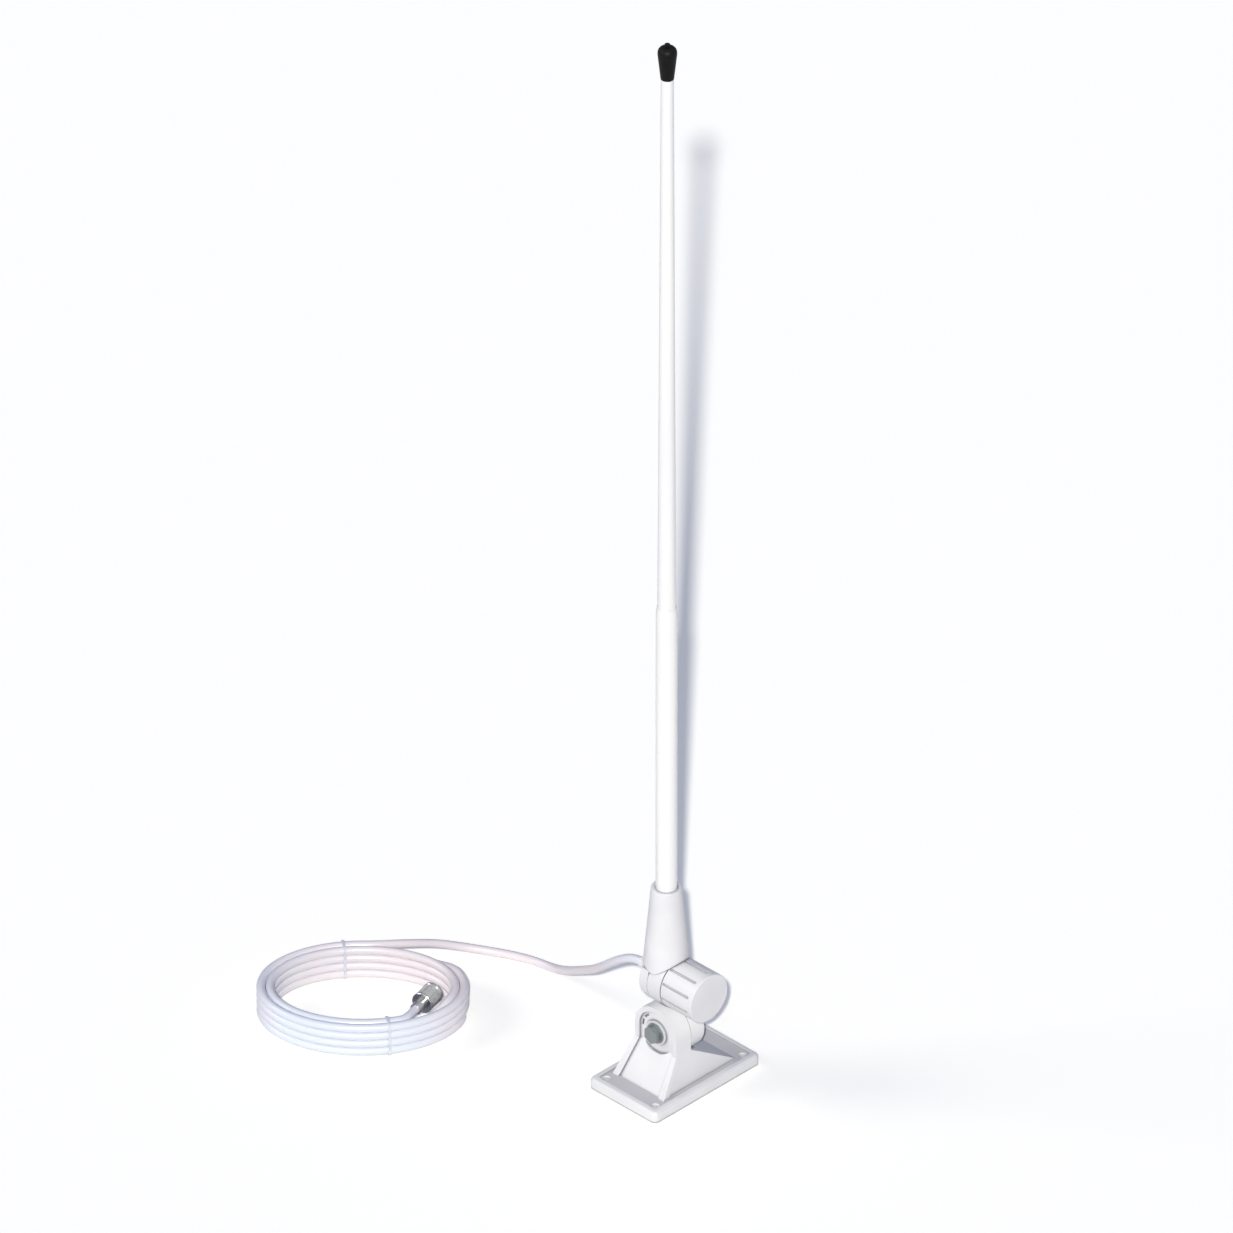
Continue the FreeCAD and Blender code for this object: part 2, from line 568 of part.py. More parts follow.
def grip_grooves():
    """Round-ended grip grooves round the knob, each with its middle on the drum's surface."""
    radius, length, count = size("groove_radius"), size("groove_length"), round(size("groove_count"))
    low = size("knob_length") - size("groove_margin") - length
    out = Vector(size("drum_radius"), 0, 0)
    groove = Part.makeCylinder(radius, length, out + Vector(0, 0, low))
    for level, foot, lean in ((low, -2 * radius, -45), (low + length, 0, 45)):
        end = Part.makeSphere(radius)
        end.rotate(Vector(), Vector(0, 1, 0), lean)
        corner = Vector(-2 * radius, -2 * radius, foot)
        end = end.common(Part.makeBox(4 * radius, 4 * radius, 2 * radius, corner))
        end.translate(out + Vector(0, 0, level))
        groove = groove.fuse(end)
    grooves = []
    for step in range(count):
        another = groove.copy()
        another.rotate(Vector(), Vector(0, 0, 1), step * 360 / count - 90 - size("groove_turn"))
        grooves.append(another)
    return loose("knob_grooves", Part.makeCompound(grooves), ("barrel_offset", KNOB_Y, AXIS_Z), ALONG_Y)


def knob():
    """Drum-shaped clamp knob with round-bottomed grip grooves, its insert and thrust washer."""
    body = new_body("knob", ("barrel_offset", KNOB_Y, AXIS_Z), ALONG_Y)
    drum = feature(body, "AdditiveCylinder", Radius="drum_radius", Height="knob_length")
    soften(body, drum, "knob_round", lambda edge: edge.Curve.TypeId == "Part::GeomCircle")
    feature(body, "SubtractiveCylinder", ("0", "0", "knob_length - thrust_height"),
            Radius="thrust_radius + running_fit", Height="thrust_height")
    feature(body, "SubtractiveCylinder", ("0", "0", "knob_length - thrust_height - insert_length"),
            Radius="insert_radius", Height="insert_length")
    piece(cut_away("knob", body, grip_grooves()), "knob")
    washer("knob_washer", "clamp_radius + running_fit", "thrust_radius", "thrust_height",
           ("barrel_offset", f"{KNOB_Y} + knob_length - thrust_height", AXIS_Z), ALONG_Y)
    washer("knob_insert", "clamp_radius + running_fit", "insert_radius", "insert_length",
           ("barrel_offset", f"{KNOB_Y} + knob_length - thrust_height - insert_length", AXIS_Z), ALONG_Y)


def upper_axis():
    """Height of the upper pivot's axis."""
    return size("pivot_height") + size("arch_radius") + size("drum_radius") + size("drum_gap")


def cable_start():
    """Where the cable's end sits in its gland, along Y."""
    return (size("barrel_far") + size("ratchet_gap") + size("lug_thickness") + size("boss_length")
            + size("gland_seat"))


def lead_path():
    """The inner lead's way from the whip's foot round to the cable gland, at X = 0."""
    axis = upper_axis()
    top = axis + size("cone_start") + size("cone_length") - size("socket_depth") + size("former_set")
    high, low = size("whip_offset") + size("lead_set"), size("lead_drop")
    knee, hip = axis + size("lead_knee"), axis + size("lead_hip")
    points = [Vector(0, high, top), Vector(0, high, hip), Vector(0, low, knee), Vector(0, low, axis),
              Vector(0, cable_start(), axis)]
    bend = size("lead_bend")
    return rounded_path(points, (bend, bend, 0.999 * min(bend, cable_start() - low)))


def ferrule():
    """Tapered socket of the whip, with the upper pivot's lug and the cable boss behind it."""
    body = new_body("ferrule")
    cone = feature(body, "AdditiveCone", ("barrel_offset", "whip_offset", CONE_Z),
                   Radius1="cone_foot", Radius2="cone_top", Height="cone_length")
    cone_end = upper_axis() + size("cone_start") + size("cone_length")
    soften(body, cone, "cone_round", lambda edge: edge.BoundBox.ZMin > cone_end - 0.01)
    feature(body, "AdditiveCylinder", ("barrel_offset", LUG_Y, AXIS_Z), ALONG_Y,
            Radius="lug_radius", Height="lug_thickness")
    feature(body, "AdditiveWedge", turn=WEDGE_UP, Xmin="barrel_offset - lug_radius",
            Xmax="barrel_offset + lug_radius", X2min="barrel_offset - cone_foot",
            X2max="barrel_offset + cone_foot", Zmin=f"-({LUG_Y} + lug_thickness)", Zmax=f"-{LUG_Y}",
            Z2min=f"-({LUG_Y} + lug_thickness)", Z2max=f"-{LUG_Y}", Ymin=AXIS_Z, Ymax=f"{CONE_Z} + cut_over")
    feature(body, "AdditiveCylinder", ("barrel_offset", LUG_Y, AXIS_Z), ALONG_Y,
            Radius="boss_radius", Height="lug_thickness + boss_length")
    feature(body, "SubtractiveCylinder", ("barrel_offset", f"{LUG_Y} - 2 * cone_foot", AXIS_Z), ALONG_Y,
            Radius="drum_radius + drum_gap", Height="2 * cone_foot")
    feature(body, "SubtractiveCylinder", ("barrel_offset", "whip_offset", WHIP_Z),
            Radius="lower_radius + tube_fit", Height="socket_depth")
    feature(body, "SubtractivePrism", ("barrel_offset", HEAD_Y, AXIS_Z), ALONG_Y,
            Circumradius="clamp_across / sqrt(3) + running_fit", Height="clamp_head")
    feature(body, "SubtractiveCylinder", ("barrel_offset", f"{HEAD_Y} + clamp_head", AXIS_Z), ALONG_Y,
            Radius="boss_bore", Height="lug_thickness + boss_length - lug_web - clamp_head")
    feature(body, "SubtractiveCylinder", ("barrel_offset", LUG_Y, AXIS_Z), ALONG_Y,
            Radius="clamp_radius + running_fit", Height="lug_web")
    slots = ratchet_slots("lug_slots", size("drum_radius") - size("tooth_rim"),
                          ("barrel_offset", LUG_Y, AXIS_Z), Rotation(Vector(1, 0, 0), 90))
    channel = loose("lead_channel", tube_along(lead_path(), size("lead_radius") + size("lead_gap")),
                    ("barrel_offset", "0", "0"))
    piece(cut_away("ferrule", body, slots, channel), "ferrule")


def clamp_bolt():
    """Screw held in the ferrule's lug, which the knob tightens."""
    body = new_body("clamp_bolt")
    hexagon(body, ("barrel_offset", HEAD_Y, AXIS_Z), ALONG_Y, "clamp_across", "clamp_head")
    tip = f"({KNOB_Y} + knob_length - thrust_height - insert_length)"
    feature(body, "AdditiveCylinder", ("barrel_offset", tip, AXIS_Z), ALONG_Y,
            Radius="clamp_radius", Height=f"{HEAD_Y} - {tip}")
    piece(body, "clamp_bolt")


def cable_gland():
    """Flanged strain relief on the boss, and the inner lead that meets the cable inside it."""
    bore = "cable_radius + cord_gap"
    gland = turned("cable_gland", [("gland_throat", "0"), ("gland_flange", "0"),
                                   ("gland_flange", "gland_plate"),
                                   ("gland_root", "gland_plate"), ("gland_tip", "gland_length"),
                                   (bore, "gland_length"), (bore, "gland_seat")],
                   ("barrel_offset", BOSS_Y, AXIS_Z), ALONG_Y)
    piece(gland, "cable_gland")
    piece(loose("inner_lead", tube_along(lead_path(), size("lead_radius")), ("barrel_offset", "0", "0")),
          "feed_lead")


def whip():
    """Two glued tubes and the black tip cap."""
    lower_bore = "lower_radius - lower_wall"
    piece(turned("lower_tube", [(lower_bore, "0"), ("lower_radius", "0"),
                                ("lower_radius", "lower_length - shoulder_length"),
                                ("upper_foot + shoulder_lip", "lower_length"), (lower_bore, "lower_length")],
                 ("barrel_offset", "whip_offset", WHIP_Z)), "lower_tube")
    piece(turned("upper_tube", [("upper_foot - upper_wall", "0"), ("upper_foot", "0"),
                                ("upper_foot", "upper_overlap"),
                                ("upper_tip", "upper_overlap + upper_length"),
                                ("upper_tip - upper_wall", "upper_overlap + upper_length"),
                                ("upper_foot - upper_wall", "upper_overlap")],
                 ("barrel_offset", "whip_offset", f"{SHOULDER_Z} - upper_overlap")), "upper_tube")
    spigot = "upper_tip - upper_wall - tube_fit"
    crown = "cap_spigot + cap_flare + cap_crown"
    cap = turned("tip_cap", [("0", "0"), (spigot, "0"), (spigot, "cap_spigot"), ("cap_foot", "cap_spigot"),
                             ("cap_radius", "cap_spigot + cap_flare"), ("cap_radius", crown),
                             ("nub_radius", crown), ("nub_radius", f"{crown} + nub_height"),
                             ("0", f"{crown} + nub_height")],
                 ("barrel_offset", "whip_offset", f"{TIP_Z} - cap_spigot"))
    level = size("cap_spigot") + size("cap_flare") + size("cap_crown")
    wide = 2 * size("cap_radius")
    soften(cap, cap.Tip, "cap_round",
           lambda edge: edge.BoundBox.ZMin > level - 0.01 and edge.BoundBox.ZMax < level + 0.01
           and edge.BoundBox.XLength > wide - 0.1)
    piece(cap, "tip_cap")


def whip_inside():
    """Matching coil on its former at the whip's foot, radiating wire and the spacers that centre it."""
    at = ("barrel_offset", "whip_offset", FORMER_Z)
    flange = "lower_radius - lower_wall - former_fit"
    piece(turned("coil_former", [("0", "0"), (flange, "0"), (flange, "former_flange"),
                                 ("former_radius", "former_flange"),
                                 ("former_radius", "former_length - former_flange"),
                                 (flange, "former_length - former_flange"), (flange, "former_length"),
                                 ("radiator_radius + tube_fit", "former_length"),
                                 ("radiator_radius + tube_fit", "former_length - radiator_seat"),
                                 ("0", "former_length - radiator_seat")], at), "coil_former")
    wire, pitch = size("winding_wire"), size("winding_pitch")
    ring = size("former_radius") + wire + size("former_fit")
    helix = Part.makeHelix(pitch, pitch * size("winding_turns"), ring)
    edge = helix.Edges[0]
    section = Part.Circle(edge.valueAt(edge.FirstParameter), edge.tangentAt(edge.FirstParameter), wire)
    coil = helix.makePipeShell([Part.Wire([section.toShape()])], True, True)
    rise = "(former_length - winding_pitch * winding_turns) / 2"
    piece(loose("winding", coil, at[:2] + (f"{FORMER_Z} + {rise}",)), "matching_coil")
    rod = doc.addObject("Part::Cylinder", "radiator")
    bind(rod, "Radius", "radiator_radius")
    bind(rod, "Height", f"{TIP_Z} - cap_spigot - radiator_end - {FORMER_Z} - former_length + radiator_seat")
    place(rod, at[:2] + (f"{FORMER_Z} + former_length - radiator_seat",), UPRIGHT)
    piece(rod, "radiator_wire")
    hole, high = size("radiator_radius") + size("tube_fit"), size("spacer_height")
    slope = (size("upper_foot") - size("upper_tip")) / size("upper_length")
    shoulder = size("lower_length")
    discs = []
    for step in range(1, round(size("spacer_count")) + 1):
        level = size("former_set") + size("former_length") + step * size("spacer_pitch")
        bore = size("lower_radius") - size("lower_wall")
        if level + high > shoulder - size("upper_overlap"):
            bore = size("upper_foot") - size("upper_wall") - max(0, level + high - shoulder) * slope
        disc = Part.makeCylinder(bore - size("former_fit"), high, Vector(0, 0, level))
        discs.append(disc.cut(Part.makeCylinder(hole, high, Vector(0, 0, level))))
    piece(loose("spacers", Part.makeCompound(discs), at[:2] + (WHIP_Z,)), "wire_spacers")


def oval(across, deep, height):
    """An upright oval block on the XY plane."""
    ring = Part.Ellipse(Vector(), across, deep).toShape()
    return Part.Face(Part.Wire([ring])).extrude(Vector(0, 0, height))


def coil_spot(degrees):
    """Middle of the coil's section at an angle round its oval, and the way that section faces."""
    middle = size("cable_radius") * (size("coil_columns") - 1)
    across, deep = size("coil_across") - middle, size("coil_deep") - middle
    angle = math.radians(degrees)
    spot = Vector(across * math.cos(angle), deep * math.sin(angle), 0)
    facing = math.degrees(math.atan2(math.sin(angle) / deep, math.cos(angle) / across))
    return spot, facing


def cable_coil():
    """Outer shape of the coiled cable, and the two ties round it."""
    radius, layers, columns = size("cable_radius"), size("coil_layers"), size("coil_columns")
    across, deep = size("coil_across") + radius, size("coil_deep") + radius
    width, height = 2 * radius * columns, 2 * radius * layers
    ring = oval(across, deep, height).cut(oval(across - width, deep - width, height))
    ring = ring.makeFillet(size("coil_round"), [edge for edge in ring.Edges if edge.BoundBox.ZLength < 0.01])
    turn = Rotation(Vector(0, 0, 1), size("coil_turn"))
    piece(loose("coil_outline", ring, ("coil_east", "coil_north", COIL_Z), turn), "cable_coil")
    gap, strap, wide = size("cord_gap"), size("tie_thickness"), size("tie_width")
    for label, degrees in (("coil_tie_front", size("tie_front")), ("coil_tie_rear", size("tie_rear"))):
        spot, facing = coil_spot(degrees)
        outer = Part.makeBox(width + 2 * (gap + strap), wide, height + 2 * (gap + strap))
        outer = outer.makeFillet(radius + strap, [edge for edge in outer.Edges if edge.BoundBox.YLength > 1])
        inner = Part.makeBox(width + 2 * gap, wide, height + 2 * gap)
        inner = inner.makeFillet(size("tie_round"),
                                 [edge for edge in inner.Edges if edge.BoundBox.YLength > 1])
        inner.translate(Vector(strap, 0, strap))
        band = outer.cut(inner)
        band.translate(Vector(-width / 2 - gap - strap, -wide / 2, 0))
        band.rotate(Vector(), Vector(0, 0, 1), facing)
        band.translate(spot)
        strap_band = loose(label + "_band", Part.makeCompound([band]), ("coil_east", "coil_north", "0"), turn)
        piece(strap_band, label)


def cable():
    """The free stretches of the cable: from the gland to the coil, and from the coil to the plug."""
    axis, start = upper_axis(), cable_start()
    exit_x = size("barrel_offset")
    cord("cable_lead", [(exit_x, start, axis), (exit_x, start + size("cord_straight"), axis)] + LEAD_ROUTE,
         size("lead_share"))
    top = (size("tie_thickness") + size("cord_gap")
           + size("cable_radius") * (2 * size("coil_layers") - 1))
    turn = math.radians(size("plug_turn"))
    end = (size("plug_east") + size("sleeve_end") * math.cos(turn),
           size("plug_north") + size("sleeve_end") * math.sin(turn))
    cord("cable_tail", [spot + (top,) for spot in TAIL_ROUTE + [end]], size("tail_share"))


def plug():
    """Coaxial plug on the cable's end: body, cable sleeve, insulator, hollow pin and coupling ring."""
    at = ("plug_east", "plug_north", PLUG_Z)
    turn = Rotation(Vector(0, 0, 1), size("plug_turn")) * ALONG_X
    bore = "cable_radius + cord_gap"
    sleeve_bore = "sleeve_spigot + running_fit"
    piece(turned("plug_body", [(sleeve_bore, "body_start"), ("body_radius - running_fit", "body_start"),
                               ("body_radius - running_fit", "flange_start"), ("body_flange", "flange_start"),
                               ("body_flange", "flange_start + flange_height"),
                               ("body_nose", "flange_start + flange_height"), ("body_nose", "body_end"),
                               ("nose_bore", "body_end"), ("nose_bore", "insulator_start"),
                               (sleeve_bore, "insulator_start")], at, turn), "plug_body")
    piece(turned("plug_reducer", [(bore, "0"), ("sleeve_radius", "0"), ("sleeve_radius", "body_start"),
                                  ("sleeve_spigot", "body_start"), ("sleeve_spigot", "sleeve_end"),
                                  (bore, "sleeve_end")], at, turn), "plug_reducer")
    piece(turned("plug_insulator", [("pin_radius + running_fit", "insulator_start"),
                                    ("nose_bore - running_fit", "insulator_start"),
                                    ("nose_bore - running_fit", "insulator_end"),
                                    ("pin_radius + running_fit", "insulator_end")], at, turn),
          "plug_insulator")
    piece(turned("plug_pin", [("0", "sleeve_end"), ("pin_radius", "sleeve_end"), ("pin_radius", "pin_end"),
                              ("pin_bore", "pin_end"), ("pin_bore", "pin_end - pin_depth"),
                              ("0", "pin_end - pin_depth")], at, turn), "plug_pin")
    lip = "ring_start + ring_lip"
    mouth = "ring_start + ring_length"
    bevel = "ring_bevel"
    body = turned("coupling_ring", [("body_radius", "ring_start"), (f"ring_radius - {bevel}", "ring_start"),
                                    ("ring_radius", f"ring_start + {bevel}"),
                                    ("ring_radius", f"{mouth} - {bevel}"), (f"ring_radius - {bevel}", mouth),
                                    (f"ring_bore + {bevel}", mouth), ("ring_bore", f"{mouth} - {bevel}"),
                                    ("ring_bore", lip), ("body_radius", lip)], at, turn)
    doc.recompute()
    notch = feature(body, "SubtractiveBox",
                    ("ring_radius - knurl_depth", "-knurl_depth", "ring_start + knurl_rear"),
                    Length="2 * knurl_depth", Width="2 * knurl_depth",
                    Height="ring_length - knurl_rear - knurl_front")
    doc.recompute()
    polar(body, [notch], "knurl_count")
    piece(body, "coupling_ring")


base_bracket()
pivot_fasteners()
knuckle()
knob()
ferrule()
clamp_bolt()
cable_gland()
whip()
whip_inside()
cable_coil()
cable()
plug()
doc.recompute()

for item in doc.Objects:
    if "Invalid" in item.State or "Error" in item.State:
        raise RuntimeError(f"{item.Name} failed: {item.State}")
for item in pieces:
    if item.Shape.isNull() or not item.Shape.isValid():
        raise RuntimeError(f"{item.Label} has no valid shape")
    item.Shape.exportStep(f"parts/{item.Label}.step")
    print(item.Label, "solids", len(item.Shape.Solids), "volume", round(item.Shape.Volume, 1))
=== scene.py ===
"""Marine VHF antenna: finishes, cable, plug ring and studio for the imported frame.

Metres, +Z up. The origin is the centre of the mount's four screw holes, on its underside.
"""

import json
import math

import bmesh
import bpy
from bpy.props import FloatProperty, FloatVectorProperty, IntProperty, PointerProperty
from mathutils import Matrix, Vector

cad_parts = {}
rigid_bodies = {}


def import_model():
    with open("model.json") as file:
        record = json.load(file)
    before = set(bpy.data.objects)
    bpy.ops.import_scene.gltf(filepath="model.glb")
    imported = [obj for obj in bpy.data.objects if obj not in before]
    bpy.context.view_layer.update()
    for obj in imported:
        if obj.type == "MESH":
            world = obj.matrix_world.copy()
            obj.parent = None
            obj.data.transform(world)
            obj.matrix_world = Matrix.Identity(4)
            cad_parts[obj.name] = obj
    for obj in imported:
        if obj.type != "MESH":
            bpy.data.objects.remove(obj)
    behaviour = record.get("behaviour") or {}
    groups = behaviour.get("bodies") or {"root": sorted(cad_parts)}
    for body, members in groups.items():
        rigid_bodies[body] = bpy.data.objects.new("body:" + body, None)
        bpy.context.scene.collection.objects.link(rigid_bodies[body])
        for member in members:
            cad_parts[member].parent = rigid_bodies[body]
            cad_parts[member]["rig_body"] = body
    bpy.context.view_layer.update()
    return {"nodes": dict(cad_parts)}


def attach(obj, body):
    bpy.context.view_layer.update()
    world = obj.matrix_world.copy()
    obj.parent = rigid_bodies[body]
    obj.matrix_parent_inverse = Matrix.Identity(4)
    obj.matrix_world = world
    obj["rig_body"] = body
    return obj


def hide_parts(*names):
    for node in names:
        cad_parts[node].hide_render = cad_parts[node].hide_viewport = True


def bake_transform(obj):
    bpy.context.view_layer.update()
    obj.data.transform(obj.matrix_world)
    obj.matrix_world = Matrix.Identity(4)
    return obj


bl_info = {
    "name": "Marine VHF Antenna",
    "version": (1, 0, 0),
    "blender": (4, 5, 0),
    "location": "3D View > Sidebar > Antenna",
    "description": "Dresses the packed antenna: mouldings, whip, fasteners, cable, plug and studio",
    "category": "Object",
}

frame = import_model()
MM = 0.001

# The cable's way in mm from its gland to the coil
LEAD_ROUTE = [(-4, 26, 95.5), (-4, 38.5, 95.5), (-4, 52, 89), (-2, 70, 74.5), (5, 92, 54.5), (14, 115, 38),
              (24.5, 140, 20), (33, 164, 5.5), (31, 188, 3.7), (22, 210, 3.7), (5, 233, 6.5),
              (-17, 246, 15.5), (-43, 255.5, 23.5)]

# The coil in degrees of its turning: start, end and step, then where its turns drop, cross inward and climb
COIL_START, COIL_END, COIL_STEP = 83.7, 2808.0, 10.0
FIRST_DROP, CROSSING, FIRST_CLIMB, SLOPE = 380.0, 1425.0, 1750.0, 30.0
WIRE_LAY = 900  # radians to a metre of cable

FIELD_LEVEL, FIELD_SPREAD = 0.0083, 0.00008  # height of the plate's field above the deck, where shade is painted
HOLLOW_REACH = 0.003  # grooves narrower than this get painted shade

# The studio's camera and lamps stand at an azimuth and an elevation in degrees
CAMERA_AIM = (0.1119, 0.1747, 0.3)
CAMERA_AZIMUTH, CAMERA_ELEVATION = -45.4, 34.0
CAMERA_DISTANCE, CAMERA_WIDTH, SENSOR_WIDTH = 24.0, 0.973, 36.0
LAMP_DISTANCE = 3
# Name, azimuth, elevation, strength, breadth of its sun in degrees, colour
LAMPS = (("key_lamp", -46.8, 35.6, 3.35, 1.0, (1.0, 0.965, 0.90)),
         ("side_lamp", -136.0, 34.0, 0.7, 22.0, (1.0, 0.975, 0.93)))
SKY_COLOUR, SKY_STRENGTH = (0.35, 0.5, 1.0, 1), 0.22
WHITE = (1, 1, 1, 1)
BRIGHT_SIDE = (-0.59, -0.58, 0.56)  # the camera's side, which shiny pieces see as white
FLOOR_HALF, FLOOR_LEVEL, FLOOR_LIFT = 30.0, -0.0002, 0.20


def length_prop(label, text, default):
    """A length that the sidebar shows in the scene's unit."""
    return FloatProperty(name=label, description=text, default=default, min=0, unit="LENGTH", precision=5)


def colour_prop(label, text, default):
    """A colour for the sidebar."""
    return FloatVectorProperty(name=label, description=text, default=default, size=3, min=0, max=1,
                               subtype="COLOR")


class AntennaSizes(bpy.types.PropertyGroup):
    """Sizes of the pieces that this file makes."""
    cable_radius: length_prop("Cable radius", "Radius of the coaxial cable", 0.0036)
    cable_length: length_prop("Cable length", "Length of the cable from its gland to its plug", 3.5)
    coil_across: length_prop("Coil half width", "Middle of the outer turns along the oval", 0.0805)
    coil_deep: length_prop("Coil half depth", "Middle of the outer turns across the oval", 0.058)
    coil_foot: length_prop("Coil foot", "Middle of the lowest turn above the deck", 0.0047)
    coil_turn: FloatProperty(name="Coil turn", description="Long axis of the coil from X",
                             default=math.radians(-45.4), subtype="ANGLE")
    coil_centre: FloatVectorProperty(name="Coil centre", description="Middle of the coil on the deck",
                                     default=(-0.113, 0.235, 0), size=3, subtype="TRANSLATION")
    coil_layers: IntProperty(name="Layers", description="Turns in the coil's height", default=4, min=2)
    plug_rear: FloatVectorProperty(name="Plug rear", description="Rear end of the plug's cable sleeve",
                                   default=(-0.106, 0.1829, 0.0263), size=3, subtype="TRANSLATION")
    plug_turn: FloatProperty(name="Plug turn", description="Plug's axis from X",
                             default=math.radians(14.6), subtype="ANGLE")
    plug_inside: length_prop("Cable in plug", "Cable's end inside its sleeve", 0.0148)
    cable_run_in: length_prop("Cable run-in", "Corner of the cable's line behind the plug", 0.0164)
    ring_radius: length_prop("Ring radius", "Coupling ring over its knurl", 0.009)
    ring_bore: length_prop("Ring bore", "Coupling ring's threaded bore", 0.0075)
    ring_start: length_prop("Ring start", "Coupling ring from the plug's rear", 0.0096)
    ring_length: length_prop("Ring length", "Coupling ring along its axis", 0.019)
    ring_lip: length_prop("Ring lip", "Coupling ring's rear wall", 0.0024)
    body_radius: length_prop("Plug barrel", "Plug body inside the ring's rear wall", 0.006)
    knurl_depth: length_prop("Knurl depth", "Height of a knurl point", 0.00034)
    knurl_count: IntProperty(name="Knurl count", description="Knurl points round the ring", default=46, min=8)
    knurl_rows: IntProperty(name="Knurl rows", description="Knurl points along the ring", default=20, min=2)
    thread_pitch: length_prop("Thread pitch", "Coupling ring's thread", 0.00106)


class AntennaColours(bpy.types.PropertyGroup):
    """Colours of the finishes, and of the shade painted in hollows and on the plate's field."""
    moulding: colour_prop("Moulding", "White nylon of the mount", (0.725, 0.725, 0.735))
    moulding_shade: colour_prop("Moulding shade", "Its drift in thick places", (0.65, 0.655, 0.675))
    # Painted shade for narrow grooves and inner corners, not a colour of the nylon
    hollow_shade: colour_prop("Hollows", "Shade in narrow grooves and inner corners", (0.20, 0.205, 0.225))
    # Painted shade on the plate's flat field; the moulding there is the same white nylon
    plate_field_shade: colour_prop("Plate field", "Flat field inside the plate's rim", (0.485, 0.48, 0.50))
    tube: colour_prop("Tube", "Glossy white of the whip", (0.83, 0.825, 0.80))
    tube_shade: colour_prop("Tube shade", "Its drift along the whip", (0.76, 0.765, 0.78))
    cap: colour_prop("Cap", "Black tip cap", (0.0035, 0.0035, 0.004))
    steel: colour_prop("Steel", "Stainless fasteners", (0.33, 0.36, 0.36))
    brass: colour_prop("Brass", "Insert of the knob", (0.62, 0.45, 0.18))
    copper: colour_prop("Copper", "Matching coil and radiating wire", (0.60, 0.27, 0.13))
    cable_cool: colour_prop("Cable, cool", "Cable jacket towards the front", (0.63, 0.675, 0.755))
    cable_warm: colour_prop("Cable, warm", "Cable jacket towards the rear", (0.71, 0.655, 0.685))
    tie: colour_prop("Tie", "Cable ties", (0.63, 0.66, 0.74))
    nickel: colour_prop("Nickel", "Plated plug", (0.60, 0.60, 0.60))
    insulator: colour_prop("Insulator", "Dark resin of the plug", (0.035, 0.028, 0.024))
    floor: colour_prop("Floor", "Studio floor", (0.95, 0.945, 0.90))


def sizes():
    """The sizes in the sidebar."""
    return bpy.context.scene.antenna_sizes


def colours():
    """The colours in the sidebar."""
    return bpy.context.scene.antenna_colours


# ---- finishes


def add(tree, kind, inputs=None, **settings):
    """A node with its settings and the values or links of its inputs."""
    node = tree.nodes.new(kind)
    for name, value in settings.items():
        setattr(node, name, value)
    for name, value in (inputs or {}).items():
        if isinstance(value, bpy.types.NodeSocket):
            tree.links.new(value, node.inputs[name])
        else:
            node.inputs[name].default_value = value
    return node


def blank_material(name):
    """A material with only its surface shader."""
    material = bpy.data.materials.new(name)
    material.use_nodes = True
    tree = material.node_tree
    tree.nodes.clear()
    shader = add(tree, "ShaderNodeBsdfPrincipled")
    add(tree, "ShaderNodeOutputMaterial", {"Surface": shader.outputs["BSDF"]})
    return material, tree, shader


def grain(tree, scale, stretch=(1, 1, 1), detail=3.0, rough=0.5):
    """Noise on the piece's own coordinates, so many to the metre, stretched along an axis."""
    where = add(tree, "ShaderNodeTexCoord").outputs["Object"]
    moved = add(tree, "ShaderNodeMapping", {"Vector": where, "Scale": stretch}).outputs["Vector"]
    return add(tree, "ShaderNodeTexNoise", {"Vector": moved, "Scale": scale, "Detail": detail,
                                            "Roughness": rough}).outputs["Fac"]


def between(tree, fac, low, high, out_low, out_high):
    """A number carried from one range to another."""
    return add(tree, "ShaderNodeMapRange", {"Value": fac, "From Min": low, "From Max": high,
                                            "To Min": out_low, "To Max": out_high}).outputs["Result"]


def blended(tree, fac, first, second):
    """One colour passing into another."""
    mix = add(tree, "ShaderNodeMix", {"Factor": fac}, data_type="RGBA")
    for socket, value in ((mix.inputs[6], first), (mix.inputs[7], second)):
        if isinstance(value, bpy.types.NodeSocket):
            tree.links.new(value, socket)
        else:
            socket.default_value = (*value, 1)
    return mix.outputs[2]


def surface(name, colour, shade, roughness, spread, patch=30.0, fine=2600.0, stretch=(1, 1, 1),
            relief=0.00002, metal=0.0, coat=0.0, gloss=0.5, hollow_shade=None):
    """A finish that drifts in colour in patches, with a fine grain in its roughness and relief.

    Given a colour of painted shade, narrow grooves and inner corners pass into it, as far as ambient occlusion
    finds them.
    """
    material, tree, shader = blank_material(name)
    drift = between(tree, grain(tree, patch, stretch), 0.3, 0.7, 0, 1)
    base = blended(tree, drift, colour, shade)
    if hollow_shade:
        # Painted shade: ambient occlusion darkens narrow grooves and inner corners towards the shade colour
        open_sky = add(tree, "ShaderNodeAmbientOcclusion", {"Distance": HOLLOW_REACH}, samples=8)
        base = blended(tree, between(tree, open_sky.outputs["AO"], 0.5, 0.93, 0, 1), hollow_shade, base)
    tree.links.new(base, shader.inputs["Base Color"])
    speck = grain(tree, fine, stretch, 2.0)
    tree.links.new(between(tree, speck, 0.25, 0.75, roughness - spread, roughness + spread),
                   shader.inputs["Roughness"])
    bump = add(tree, "ShaderNodeBump", {"Height": speck, "Distance": relief, "Strength": 0.5})
    tree.links.new(bump.outputs["Normal"], shader.inputs["Normal"])
    shader.inputs["Metallic"].default_value = metal
    shader.inputs["Coat Weight"].default_value = coat
    shader.inputs["Coat Roughness"].default_value = 0.12
    shader.inputs["Specular IOR Level"].default_value = gloss
    return material


def moulded_white():
    """Satin white nylon with the fine grain of its mould, and shade painted into its grooves and inner
    corners.
    """
    c = colours()
    return surface("Moulded white nylon", c.moulding, c.moulding_shade, 0.42, 0.07, patch=22, hollow_shade=c.hollow_shade)


